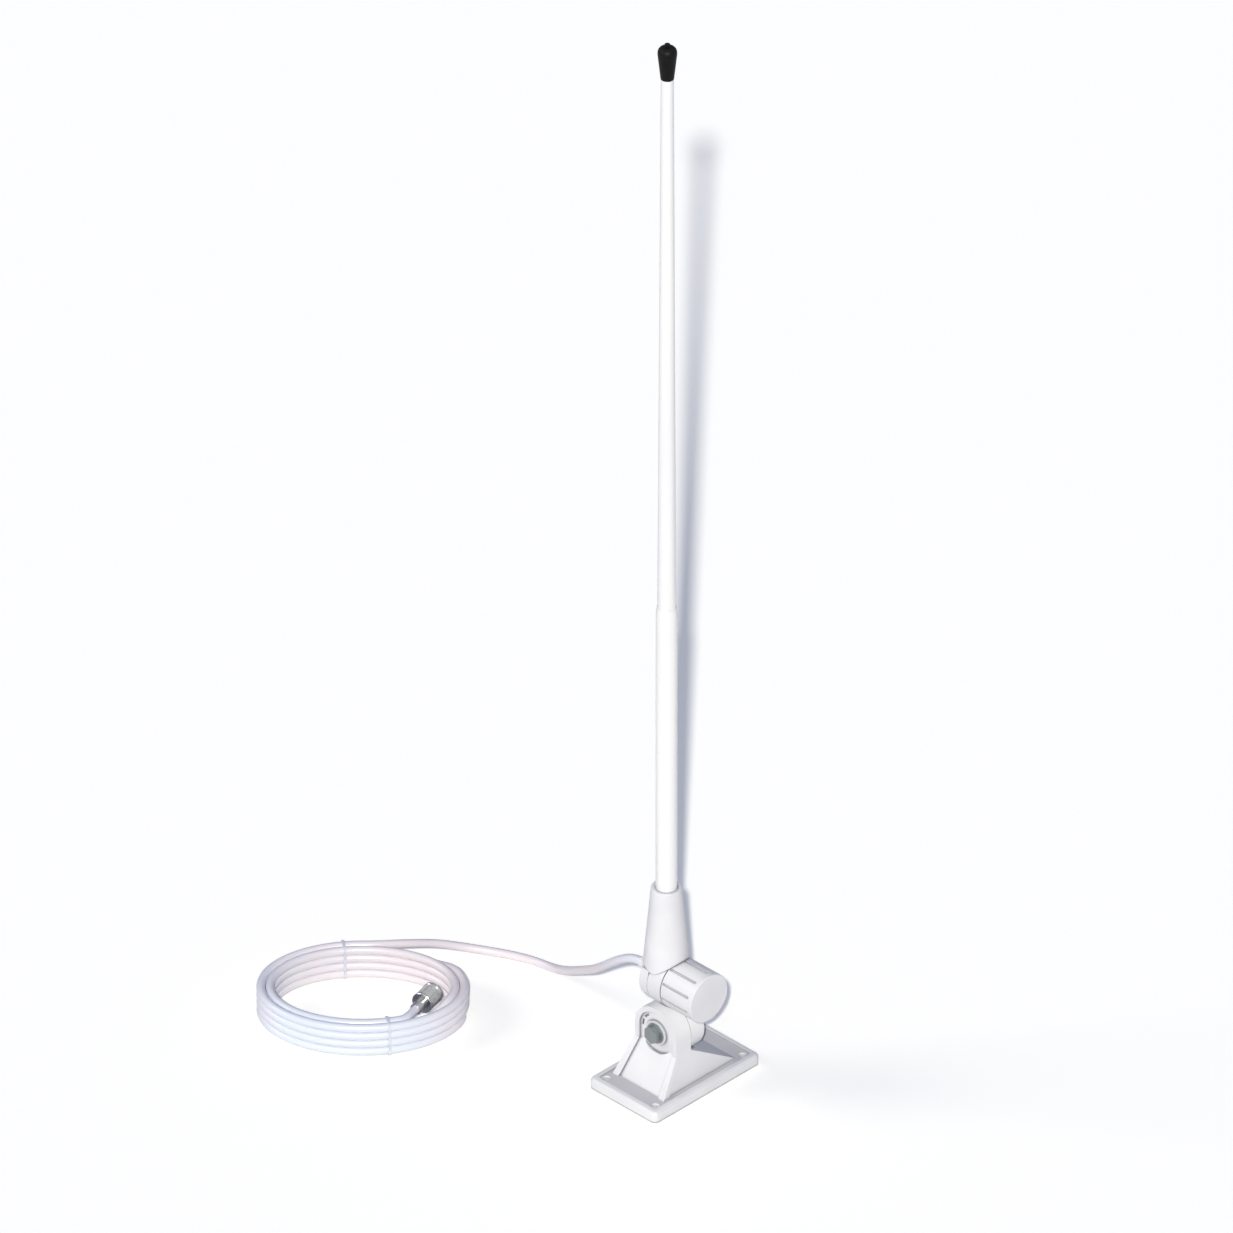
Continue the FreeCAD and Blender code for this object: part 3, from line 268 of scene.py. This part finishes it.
def plate_white():
    """The same nylon with its painted shade in grooves, and shade painted greyer on the flat field inside the
    plate's rim.
    """
    c = colours()
    material = surface("Moulded white nylon plate", c.moulding, c.moulding_shade, 0.42, 0.07, patch=22,
                       hollow_shade=c.hollow_shade)
    tree = material.node_tree
    shader = next(node for node in tree.nodes if node.type == "BSDF_PRINCIPLED")
    base = shader.inputs["Base Color"].links[0].from_socket
    height = add(tree, "ShaderNodeSeparateXYZ",
                 {"Vector": add(tree, "ShaderNodeTexCoord").outputs["Object"]}).outputs["Z"]
    # Painted shade: the flat field at FIELD_LEVEL turns to the greyer field colour
    field = calc(tree, "COMPARE", height, FIELD_LEVEL, FIELD_SPREAD)
    tree.links.new(blended(tree, field, base, c.plate_field_shade), shader.inputs["Base Color"])
    return material


def tube_white():
    """Glossy painted tube with faint streaks along it."""
    c = colours()
    return surface("Glossy white tube", c.tube, c.tube_shade, 0.24, 0.05, patch=60, fine=1500,
                   stretch=(1, 1, 0.06), relief=0.000008, coat=0.35)


def cap_black():
    """Soft black vinyl of the tip cap."""
    black = colours().cap
    return surface("Black vinyl cap", black, [1.8 * part for part in black], 0.5, 0.08, patch=90, gloss=0.12)


def stainless():
    """Brushed stainless steel."""
    steel = colours().steel
    return surface("Brushed stainless", steel, [0.8 * part for part in steel], 0.34, 0.1, patch=160,
                   fine=5200, stretch=(1, 1, 0.12), relief=0.00001, metal=0.85)


def turned_brass():
    """Turned brass."""
    brass = colours().brass
    return surface("Turned brass", brass, [0.8 * part for part in brass], 0.3, 0.06, patch=120, metal=1)


def enamelled_copper():
    """Copper wire under its enamel."""
    copper = colours().copper
    return surface("Enamelled copper", copper, [0.75 * part for part in copper], 0.24, 0.06, patch=150,
                   metal=1, coat=0.5)


def black_lead():
    """Black jacket of the lead inside the mount."""
    return surface("Black lead jacket", (0.02, 0.02, 0.021), (0.035, 0.035, 0.036), 0.4, 0.06)


def former_ivory():
    """Turned former of the matching coil."""
    return surface("Turned ivory former", (0.62, 0.60, 0.53), (0.54, 0.52, 0.46), 0.45, 0.06)


def foam_grey():
    """Open foam spacers."""
    return surface("Pale foam", (0.66, 0.66, 0.64), (0.5, 0.5, 0.49), 0.85, 0.08, patch=900, fine=1900,
                   relief=0.0003, gloss=0.2)


def cable_jacket():
    """Smooth white jacket, cool towards the front and warm towards the rear, with its wires' faint lay."""
    material, tree, shader = blank_material("White cable jacket")
    c = colours()
    where = add(tree, "ShaderNodeTexCoord").outputs["Object"]
    rearward = (0.9, 0.45, 0)
    away = add(tree, "ShaderNodeVectorMath", {0: where, 1: rearward}, operation="DOT_PRODUCT")
    fade = between(tree, away.outputs["Value"], -0.06, 0.07, 0, 1)
    patches = between(tree, grain(tree, 14), 0.35, 0.65, -0.25, 0.25)
    warmth = add(tree, "ShaderNodeMath", {0: fade, 1: patches}, operation="ADD", use_clamp=True)
    tree.links.new(blended(tree, warmth.outputs["Value"], c.cable_cool, c.cable_warm),
                   shader.inputs["Base Color"])
    speck = grain(tree, 2400, detail=2.0)
    tree.links.new(between(tree, speck, 0.25, 0.75, 0.26, 0.4), shader.inputs["Roughness"])
    lay = add(tree, "ShaderNodeAttribute", attribute_name="lay", attribute_type="GEOMETRY").outputs["Fac"]
    height = calc(tree, "MULTIPLY_ADD", calc(tree, "SINE", lay), 0.25, speck)
    bump = add(tree, "ShaderNodeBump", {"Height": height, "Distance": 0.00004, "Strength": 0.6})
    tree.links.new(bump.outputs["Normal"], shader.inputs["Normal"])
    shader.inputs["Coat Weight"].default_value = 0.25
    shader.inputs["Coat Roughness"].default_value = 0.2
    return material


def tie_plastic():
    """Half clear nylon strap."""
    tie = colours().tie
    return surface("Half clear tie", tie, [0.85 * part for part in tie], 0.3, 0.08, patch=300, coat=0.2)


def nickel_plate():
    """Bright nickel plating with fine turning marks."""
    nickel = colours().nickel
    return surface("Nickel plate", nickel, [0.78 * part for part in nickel], 0.16, 0.06, patch=320,
                   fine=4200, relief=0.000006, metal=1)


def silver_pin():
    """Silver plate of the centre pin, a little tarnished."""
    return surface("Silver plate", (0.70, 0.69, 0.66), (0.48, 0.46, 0.42), 0.2, 0.07, patch=420, metal=1)


def plug_resin():
    """Dark moulded resin."""
    resin = colours().insulator
    return surface("Dark resin", resin, [1.7 * part for part in resin], 0.42, 0.08, patch=260)


def dress(material, *nodes):
    """Gives CAD nodes their finish."""
    for name in nodes:
        mesh = frame["nodes"][name].data
        mesh.materials.clear()
        mesh.materials.append(material)


# ---- shapes


def link(name, mesh, material=None):
    """A new object in the scene."""
    piece = bpy.data.objects.new(name, mesh)
    bpy.context.scene.collection.objects.link(piece)
    if material:
        mesh.materials.clear()
        mesh.materials.append(material)
    return piece


def smoothed(node, name, material, angle=32.0):
    """A merged copy of a CAD node with its round faces shaded smooth, standing for that node."""
    mesh = frame["nodes"][node].data.copy()
    mesh.name = name
    work = bmesh.new()
    work.from_mesh(mesh)
    bmesh.ops.remove_doubles(work, verts=work.verts, dist=0.000002)
    for face in work.faces:
        face.smooth = True
    limit = math.radians(angle)
    for edge in work.edges:
        edge.smooth = len(edge.link_faces) == 2 and edge.calc_face_angle(math.pi) < limit
    work.to_mesh(mesh)
    work.free()
    piece = link(name, mesh, material)
    body = frame["nodes"][node]["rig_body"]
    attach(piece, body)
    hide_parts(node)
    return piece


def plain_mesh(maker, tree, values, name):
    """The mesh that a node tree makes from its named inputs."""
    holder = link(name + "_maker", maker)
    modifier = holder.modifiers.new("Maker", "NODES")
    modifier.node_group = tree
    for item in tree.interface.items_tree:
        if item.item_type == "SOCKET" and item.in_out == "INPUT" and item.name in values:
            modifier[item.identifier] = values[item.name]
    holder.update_tag()
    graph = bpy.context.evaluated_depsgraph_get()
    mesh = bpy.data.meshes.new_from_object(holder.evaluated_get(graph), depsgraph=graph)
    mesh.name = name
    bpy.data.objects.remove(holder)
    return mesh


def new_tree(name, inputs):
    """A geometry tree with its named inputs."""
    tree = bpy.data.node_groups.new(name, "GeometryNodeTree")
    tree.interface.new_socket("Geometry", in_out="INPUT", socket_type="NodeSocketGeometry")
    for label, kind in inputs:
        tree.interface.new_socket(label, in_out="INPUT", socket_type="NodeSocket" + kind)
    tree.interface.new_socket("Geometry", in_out="OUTPUT", socket_type="NodeSocketGeometry")
    return tree, tree.nodes.new("NodeGroupInput").outputs


def end_tree(tree, geometry, material):
    """Realizes what a tree made and gives it its finish."""
    real = add(tree, "GeometryNodeRealizeInstances", {"Geometry": geometry}).outputs["Geometry"]
    done = add(tree, "GeometryNodeSetMaterial", {"Geometry": real, "Material": material}).outputs["Geometry"]
    tree.links.new(done, tree.nodes.new("NodeGroupOutput").inputs["Geometry"])


def calc(tree, operation, *values):
    """One sum on numbers."""
    return add(tree, "ShaderNodeMath", dict(enumerate(values)), operation=operation).outputs["Value"]


def knurl_tree():
    """Pointed knurl: rows of four-sided points round a cylinder, every other row half a step on."""
    tree, given = new_tree("Knurl", [("Radius", "Float"), ("Start", "Float"), ("Length", "Float"),
                                     ("Depth", "Float"), ("Count", "Int"), ("Rows", "Int"),
                                     ("Material", "Material")])
    index = add(tree, "GeometryNodeInputIndex").outputs["Index"]
    row = calc(tree, "MODULO", index, given["Rows"])
    column = calc(tree, "FLOOR", calc(tree, "DIVIDE", index, given["Rows"]))
    half = calc(tree, "MULTIPLY", calc(tree, "MODULO", row, 2.0), 0.5)
    step = calc(tree, "DIVIDE", 2 * math.pi, given["Count"])
    angle = calc(tree, "MULTIPLY", calc(tree, "ADD", column, half), step)
    rise = calc(tree, "DIVIDE", given["Length"], calc(tree, "ADD", given["Rows"], 1.0))
    height = calc(tree, "MULTIPLY_ADD", calc(tree, "ADD", row, 1.0), rise, given["Start"])
    out = add(tree, "ShaderNodeCombineXYZ", {"X": calc(tree, "COSINE", angle),
                                             "Y": calc(tree, "SINE", angle)}).outputs["Vector"]
    reach = add(tree, "ShaderNodeVectorMath", {0: out, "Scale": given["Radius"]}, operation="SCALE")
    up = add(tree, "ShaderNodeCombineXYZ", {"Z": height})
    at = add(tree, "ShaderNodeVectorMath", {0: reach.outputs["Vector"], 1: up.outputs["Vector"]},
             operation="ADD").outputs["Vector"]
    points = add(tree, "GeometryNodePoints", {"Count": calc(tree, "MULTIPLY", given["Count"], given["Rows"]),
                                              "Position": at}).outputs["Points"]
    turn = add(tree, "FunctionNodeAxesToRotation", {"Primary Axis": out, "Secondary Axis": (0.0, 0.0, 1.0)},
               primary_axis="Z", secondary_axis="X").outputs["Rotation"]
    wide = calc(tree, "MULTIPLY", calc(tree, "MULTIPLY", step, given["Radius"]), 0.5)
    size = add(tree, "ShaderNodeCombineXYZ", {"X": rise, "Y": wide, "Z": given["Depth"]}).outputs["Vector"]
    cone = add(tree, "GeometryNodeMeshCone", {"Vertices": 4, "Radius Top": 0.0, "Radius Bottom": 1.0,
                                              "Depth": 1.0}).outputs["Mesh"]
    placed = add(tree, "GeometryNodeInstanceOnPoints", {"Points": points, "Instance": cone, "Rotation": turn,
                                                        "Scale": size}).outputs["Instances"]
    end_tree(tree, placed, given["Material"])
    return tree


def thread_tree():
    """Inner screw thread: a ridge that winds up a bore."""
    tree, given = new_tree("Thread", [("Radius", "Float"), ("Start", "Float"), ("Length", "Float"),
                                      ("Pitch", "Float"), ("Material", "Material")])
    turns = calc(tree, "DIVIDE", given["Length"], given["Pitch"])
    spiral = add(tree, "GeometryNodeCurveSpiral", {"Resolution": 40, "Rotations": turns,
                                                   "Start Radius": given["Radius"],
                                                   "End Radius": given["Radius"], "Height": given["Length"]})
    ridge = add(tree, "GeometryNodeCurvePrimitiveCircle",
                {"Resolution": 5, "Radius": calc(tree, "MULTIPLY", given["Pitch"], 0.36)}, mode="RADIUS")
    wound = add(tree, "GeometryNodeCurveToMesh", {"Curve": spiral.outputs["Curve"],
                                                  "Profile Curve": ridge.outputs["Curve"], "Fill Caps": True})
    moved = add(tree, "GeometryNodeTransform",
                {"Geometry": wound.outputs["Mesh"],
                 "Translation": add(tree, "ShaderNodeCombineXYZ", {"Z": given["Start"]}).outputs["Vector"]})
    end_tree(tree, moved.outputs["Geometry"], given["Material"])
    return tree


def lathe(name, outline, sides=96):
    """A closed ring turned about Z from an outline of (radius, height) points."""
    work = bmesh.new()
    rings = []
    for radius, height in outline:
        rings.append([work.verts.new((radius * math.cos(2 * math.pi * i / sides),
                                      radius * math.sin(2 * math.pi * i / sides), height))
                      for i in range(sides)])
    for first, second in zip(rings, rings[1:] + rings[:1]):
        for i in range(sides):
            work.faces.new((first[i], first[(i + 1) % sides], second[(i + 1) % sides], second[i]))
    bmesh.ops.recalc_face_normals(work, faces=work.faces)
    for face in work.faces:
        face.smooth = True
    for edge in work.edges:
        edge.smooth = edge.calc_face_angle(math.pi) < math.radians(25)
    mesh = bpy.data.meshes.new(name)
    work.to_mesh(mesh)
    work.free()
    return mesh


def merged(name, *meshes):
    """Several meshes as one."""
    work = bmesh.new()
    for mesh in meshes:
        work.from_mesh(mesh)
    result = bpy.data.meshes.new(name)
    work.to_mesh(result)
    work.free()
    return result


def plug_frame():
    """The plug's axis as local Z, from the rear of its cable sleeve."""
    s = sizes()
    turn = Matrix.Rotation(s.plug_turn, 4, "Z") @ Matrix.Rotation(math.pi / 2, 4, "Y")
    return Matrix.Translation(Vector(s.plug_rear)) @ turn


# ---- cable


def eased(value):
    """From 0 to 1 with soft ends."""
    value = min(max(value, 0.0), 1.0)
    return value * value * (3 - 2 * value)


def coil_route():
    """Control points of the coil's turns: down the outer column, across, and up the inner one.

    Every outer turn drops a layer over the same 30 degrees, and every inner one climbs over another 30,
    so that turns lie beside and on each other all the way round.
    """
    s = sizes()
    pitch = 2 * s.cable_radius
    swell = 1 / math.cos(math.radians(COIL_STEP / 2))
    turn = Matrix.Rotation(s.coil_turn, 3, "Z")
    count = round((COIL_END - COIL_START) / COIL_STEP)
    points = []
    for i in range(count + 1):
        t = COIL_START + (COIL_END - COIL_START) * i / count
        down = sum(eased((t - FIRST_DROP - 360 * k) / SLOPE) for k in range(s.coil_layers - 1))
        up = sum(eased((t - FIRST_CLIMB - 360 * k) / SLOPE) for k in range(s.coil_layers - 1))
        inward = pitch * eased((t - CROSSING) / SLOPE)
        angle = math.radians(t)
        spot = Vector(((s.coil_across - inward) * swell * math.cos(angle),
                       (s.coil_deep - inward) * swell * math.sin(angle),
                       s.coil_foot + pitch * (s.coil_layers - 1 - down + up)))
        points.append(turn @ spot + Vector(s.coil_centre))
    return points


def nurbs_line(points, resolution=5):
    """Points along the smooth NURBS line that a route controls."""
    curve = bpy.data.curves.new("cable_route", "CURVE")
    curve.dimensions = "3D"
    spline = curve.splines.new("NURBS")
    spline.points.add(len(points) - 1)
    for point, spot in zip(spline.points, points):
        point.co = (*spot, 1)
    spline.order_u = 3
    spline.use_endpoint_u = True
    spline.resolution_u = resolution
    holder = bpy.data.objects.new("cable_route", curve)
    bpy.context.scene.collection.objects.link(holder)
    graph = bpy.context.evaluated_depsgraph_get()
    mesh = bpy.data.meshes.new_from_object(holder.evaluated_get(graph), depsgraph=graph)
    line = [vertex.co.copy() for vertex in mesh.vertices]
    bpy.data.objects.remove(holder)
    bpy.data.meshes.remove(mesh)
    return [spot for spot, last in zip(line, [None] + line) if last is None or (spot - last).length > 1e-6]


def tube(name, line, radius, material, sides=14):
    """A round tube along a line of points, with its wires' lay as an attribute."""
    side = Vector((1, 0, 0))
    verts, faces, lay = [], [], []
    travelled = 0.0
    for number, spot in enumerate(line):
        before, after = line[max(number - 1, 0)], line[min(number + 1, len(line) - 1)]
        along = (after - before).normalized()
        side = (side - along * side.dot(along)).normalized()
        other = along.cross(side)
        travelled += (spot - before).length
        for i in range(sides):
            angle = 2 * math.pi * i / sides
            verts.append(spot + radius * (math.cos(angle) * side + math.sin(angle) * other))
            lay.append(travelled * WIRE_LAY)
    rings = len(line)
    for number in range(rings - 1):
        for i in range(sides):
            j = (i + 1) % sides
            low, high = number * sides, (number + 1) * sides
            faces.append((low + i, low + j, high + j, high + i))
    faces.append(tuple(reversed(range(sides))))
    faces.append(tuple((rings - 1) * sides + i for i in range(sides)))
    mesh = bpy.data.meshes.new(name)
    mesh.from_pydata([tuple(v) for v in verts], [], faces)
    mesh.attributes.new("lay", "FLOAT", "POINT").data.foreach_set("value", lay)
    mesh.shade_smooth()
    return link(name, mesh, material)


# ---- operators


class ANTENNA_OT_stage(bpy.types.Operator):
    """Camera, lamps, world and floor of the studio"""
    bl_idname = "antenna.stage"
    bl_label = "Studio"

    def execute(self, context):
        camera = bpy.data.cameras.new("studio_camera")
        camera.sensor_width = SENSOR_WIDTH
        camera.lens = SENSOR_WIDTH * CAMERA_DISTANCE / CAMERA_WIDTH
        camera.clip_start, camera.clip_end = 1.0, 100.0
        context.scene.camera = self.placed(context, camera, CAMERA_AIM, CAMERA_DISTANCE, CAMERA_AZIMUTH,
                                           CAMERA_ELEVATION)
        for name, azimuth, elevation, strength, breadth, colour in LAMPS:
            light = bpy.data.lights.new(name, "SUN")
            light.energy = strength
            light.angle = math.radians(breadth)
            light.color = colour
            self.placed(context, light, (0, 0, 0), LAMP_DISTANCE, azimuth, elevation)
        self.world(context)
        self.floor(context)
        context.scene.view_settings.view_transform = "Standard"
        return {"FINISHED"}

    def placed(self, context, data, aim, distance, azimuth, elevation):
        """An object for a camera or a lamp that faces its aim from a distance."""
        turn, rise = math.radians(azimuth), math.radians(elevation)
        back = Vector((math.sin(turn) * math.cos(rise), -math.cos(turn) * math.cos(rise), math.sin(rise)))
        seat = bpy.data.objects.new(data.name, data)
        seat.location = Vector(aim) + back * distance
        seat.rotation_mode = "QUATERNION"
        seat.rotation_quaternion = (-back).to_track_quat("-Z", "Y")
        context.scene.collection.objects.link(seat)
        return seat

    def world(self, context):
        """A cool sky light that the camera sees as white, and shiny pieces too on the camera's side."""
        world = bpy.data.worlds.new("studio_world")
        world.use_nodes = True
        tree = world.node_tree
        tree.nodes.clear()
        rays = add(tree, "ShaderNodeLightPath").outputs
        seen = calc(tree, "MAXIMUM", rays["Is Camera Ray"], rays["Is Transmission Ray"])
        way = add(tree, "ShaderNodeVectorMath", {0: add(tree, "ShaderNodeTexCoord").outputs["Generated"],
                                                 1: BRIGHT_SIDE}, operation="DOT_PRODUCT")
        facing = between(tree, way.outputs["Value"], -0.75, 0.35, 0.05, 1.0)
        seen = calc(tree, "MAXIMUM", seen, calc(tree, "MULTIPLY", rays["Is Glossy Ray"], facing))
        sky = add(tree, "ShaderNodeBackground", {"Color": SKY_COLOUR, "Strength": SKY_STRENGTH})
        white = add(tree, "ShaderNodeBackground", {"Color": WHITE, "Strength": 1.0})
        mix = add(tree, "ShaderNodeMixShader", {0: seen, 1: sky.outputs[0], 2: white.outputs[0]})
        add(tree, "ShaderNodeOutputWorld", {"Surface": mix.outputs[0]})
        context.scene.world = world

    def floor(self, context):
        """A wide pale floor, lifted to white for the camera outside the shadow."""
        half = FLOOR_HALF
        corners = ((-half, -half), (half, -half), (half, half), (-half, half))
        mesh = bpy.data.meshes.new("studio_floor")
        mesh.from_pydata([(x, y, FLOOR_LEVEL) for x, y in corners], [], [(0, 1, 2, 3)])
        material, tree, shader = blank_material("Studio floor")
        shader.inputs["Base Color"].default_value = (*colours().floor, 1)
        shader.inputs["Roughness"].default_value = 0.9
        shader.inputs["Specular IOR Level"].default_value = 0.1
        to_camera = add(tree, "ShaderNodeLightPath").outputs["Is Camera Ray"]
        lift = calc(tree, "MULTIPLY", to_camera, FLOOR_LIFT)
        glow = add(tree, "ShaderNodeEmission", {"Color": WHITE, "Strength": lift})
        both = add(tree, "ShaderNodeAddShader", {0: shader.outputs["BSDF"], 1: glow.outputs["Emission"]})
        out = next(node for node in tree.nodes if node.type == "OUTPUT_MATERIAL")
        tree.links.new(both.outputs["Shader"], out.inputs["Surface"])
        link("studio_floor", mesh, material)


class ANTENNA_OT_cable(bpy.types.Operator):
    """Coaxial cable from its gland over the deck into the coil and out to its plug"""
    bl_idname = "antenna.cable"
    bl_label = "Cable"

    def execute(self, context):
        s = sizes()
        local = plug_frame()
        ends = [local @ Vector((0, 0, run)) for run in (-s.cable_run_in, -0.003, s.plug_inside)]
        route = [Vector(spot) * MM for spot in LEAD_ROUTE] + coil_route() + ends
        line = nurbs_line(route)
        cable = tube("coaxial_cable", line, s.cable_radius, cable_jacket())
        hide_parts("cable_lead", "cable_coil", "cable_tail")
        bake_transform(cable)
        carried = [frame["nodes"][name] for name in ("plug_body", "plug_reducer", "plug_insulator", "plug_pin",
                                                     "coil_tie_front", "coil_tie_rear")]
        carried.append(bpy.data.objects["knurled_coupling_ring"])
        return {"FINISHED"}


class ANTENNA_OT_coupling_ring(bpy.types.Operator):
    """Coupling ring with its pointed knurl and inner thread, and the plug's plating"""
    bl_idname = "antenna.coupling_ring"
    bl_label = "Coupling ring"

    def execute(self, context):
        s = sizes()
        nickel = nickel_plate()
        dress(nickel, "plug_body", "plug_reducer")
        start, end = s.ring_start, s.ring_start + s.ring_length
        rear_plain, front_plain = 2.6 * MM, 3.4 * MM
        low, band = s.ring_radius - s.knurl_depth, (start + rear_plain, end - front_plain)
        edge, groove, sunk = 0.4 * MM, 0.3 * MM, 0.02 * MM
        outline = [(s.body_radius, start), (s.ring_radius - edge, start), (s.ring_radius, start + edge),
                   (s.ring_radius, band[0] - groove), (low, band[0]), (low, band[1]),
                   (s.ring_radius, band[1] + groove), (s.ring_radius, end - 2.5 * edge),
                   (s.ring_radius - edge, end - edge / 2), (s.ring_radius - 1.4 * edge, end),
                   (s.ring_bore + edge, end), (s.ring_bore, end - edge), (s.ring_bore, start + s.ring_lip),
                   (s.body_radius, start + s.ring_lip)]
        wall = lathe("ring_wall", outline)
        knurl = plain_mesh(bpy.data.meshes.new("knurl_seed"), knurl_tree(),
                           {"Radius": low - sunk, "Start": band[0], "Length": band[1] - band[0],
                            "Depth": s.knurl_depth, "Count": s.knurl_count, "Rows": s.knurl_rows,
                            "Material": nickel}, "ring_knurl")
        thread = plain_mesh(bpy.data.meshes.new("thread_seed"), thread_tree(),
                            {"Radius": s.ring_bore, "Start": start + s.ring_lip + edge,
                             "Length": s.ring_length - s.ring_lip - 3 * edge, "Pitch": s.thread_pitch,
                             "Material": nickel}, "ring_thread")
        mesh = merged("knurled_coupling_ring", wall, knurl, thread)
        mesh.transform(plug_frame())
        piece = link("knurled_coupling_ring", mesh, nickel)
        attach(piece, "ring")
        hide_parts("coupling_ring")
        return {"FINISHED"}


class ANTENNA_OT_mouldings(bpy.types.Operator):
    """White mouldings of the mount: plate, knuckle, knob, ferrule and cable gland"""
    bl_idname = "antenna.mouldings"
    bl_label = "Mouldings"

    def execute(self, context):
        white = moulded_white()
        smoothed("base_bracket", "deck_bracket", plate_white())
        for node, name in (("knuckle", "swivel_knuckle"), ("knob", "clamp_knob"), ("ferrule", "whip_ferrule"),
                           ("cable_gland", "lead_gland")):
            smoothed(node, name, white)
        return {"FINISHED"}


class ANTENNA_OT_whip(bpy.types.Operator):
    """White tubes of the whip and its black tip cap"""
    bl_idname = "antenna.whip"
    bl_label = "Whip"

    def execute(self, context):
        white = tube_white()
        smoothed("lower_tube", "lower_whip", white)
        smoothed("upper_tube", "upper_whip", white)
        smoothed("tip_cap", "rubber_tip", cap_black())
        return {"FINISHED"}


class ANTENNA_OT_fittings(bpy.types.Operator):
    """Fasteners, inner parts of the whip, cable ties and the plug's inner pieces"""
    bl_idname = "antenna.fittings"
    bl_label = "Fittings"

    def execute(self, context):
        dress(stainless(), "pivot_bolt", "pivot_washer_front", "pivot_washer_rear", "pivot_nut", "clamp_bolt",
              "knob_washer")
        dress(turned_brass(), "knob_insert")
        dress(enamelled_copper(), "matching_coil", "radiator_wire")
        dress(black_lead(), "feed_lead")
        dress(former_ivory(), "coil_former")
        dress(foam_grey(), "wire_spacers")
        dress(tie_plastic(), "coil_tie_front", "coil_tie_rear")
        dress(plug_resin(), "plug_insulator")
        dress(silver_pin(), "plug_pin")
        return {"FINISHED"}


class ANTENNA_PT_sidebar(bpy.types.Panel):
    """The antenna's sizes, colours and pieces"""
    bl_idname = "ANTENNA_PT_sidebar"
    bl_label = "Marine VHF antenna"
    bl_space_type = "VIEW_3D"
    bl_region_type = "UI"
    bl_category = "Antenna"

    def draw(self, context):
        for group in (context.scene.antenna_sizes, context.scene.antenna_colours):
            box = self.layout.box()
            for name in group.__annotations__:
                box.prop(group, name)
        for operator in OPERATORS:
            self.layout.operator(operator.bl_idname)


OPERATORS = (ANTENNA_OT_stage, ANTENNA_OT_coupling_ring, ANTENNA_OT_cable, ANTENNA_OT_mouldings,
             ANTENNA_OT_whip, ANTENNA_OT_fittings)
CLASSES = (AntennaSizes, AntennaColours) + OPERATORS + (ANTENNA_PT_sidebar,)


def register():
    for cls in CLASSES:
        bpy.utils.register_class(cls)
    bpy.types.Scene.antenna_sizes = PointerProperty(type=AntennaSizes)
    bpy.types.Scene.antenna_colours = PointerProperty(type=AntennaColours)


def unregister():
    del bpy.types.Scene.antenna_colours
    del bpy.types.Scene.antenna_sizes
    for cls in reversed(CLASSES):
        bpy.utils.unregister_class(cls)


def main():
    """Makes every piece in order."""
    register()
    bpy.ops.antenna.stage()
    bpy.ops.antenna.coupling_ring()
    bpy.ops.antenna.cable()
    bpy.ops.antenna.mouldings()
    bpy.ops.antenna.whip()
    bpy.ops.antenna.fittings()


if __name__ == "__main__":
    main()
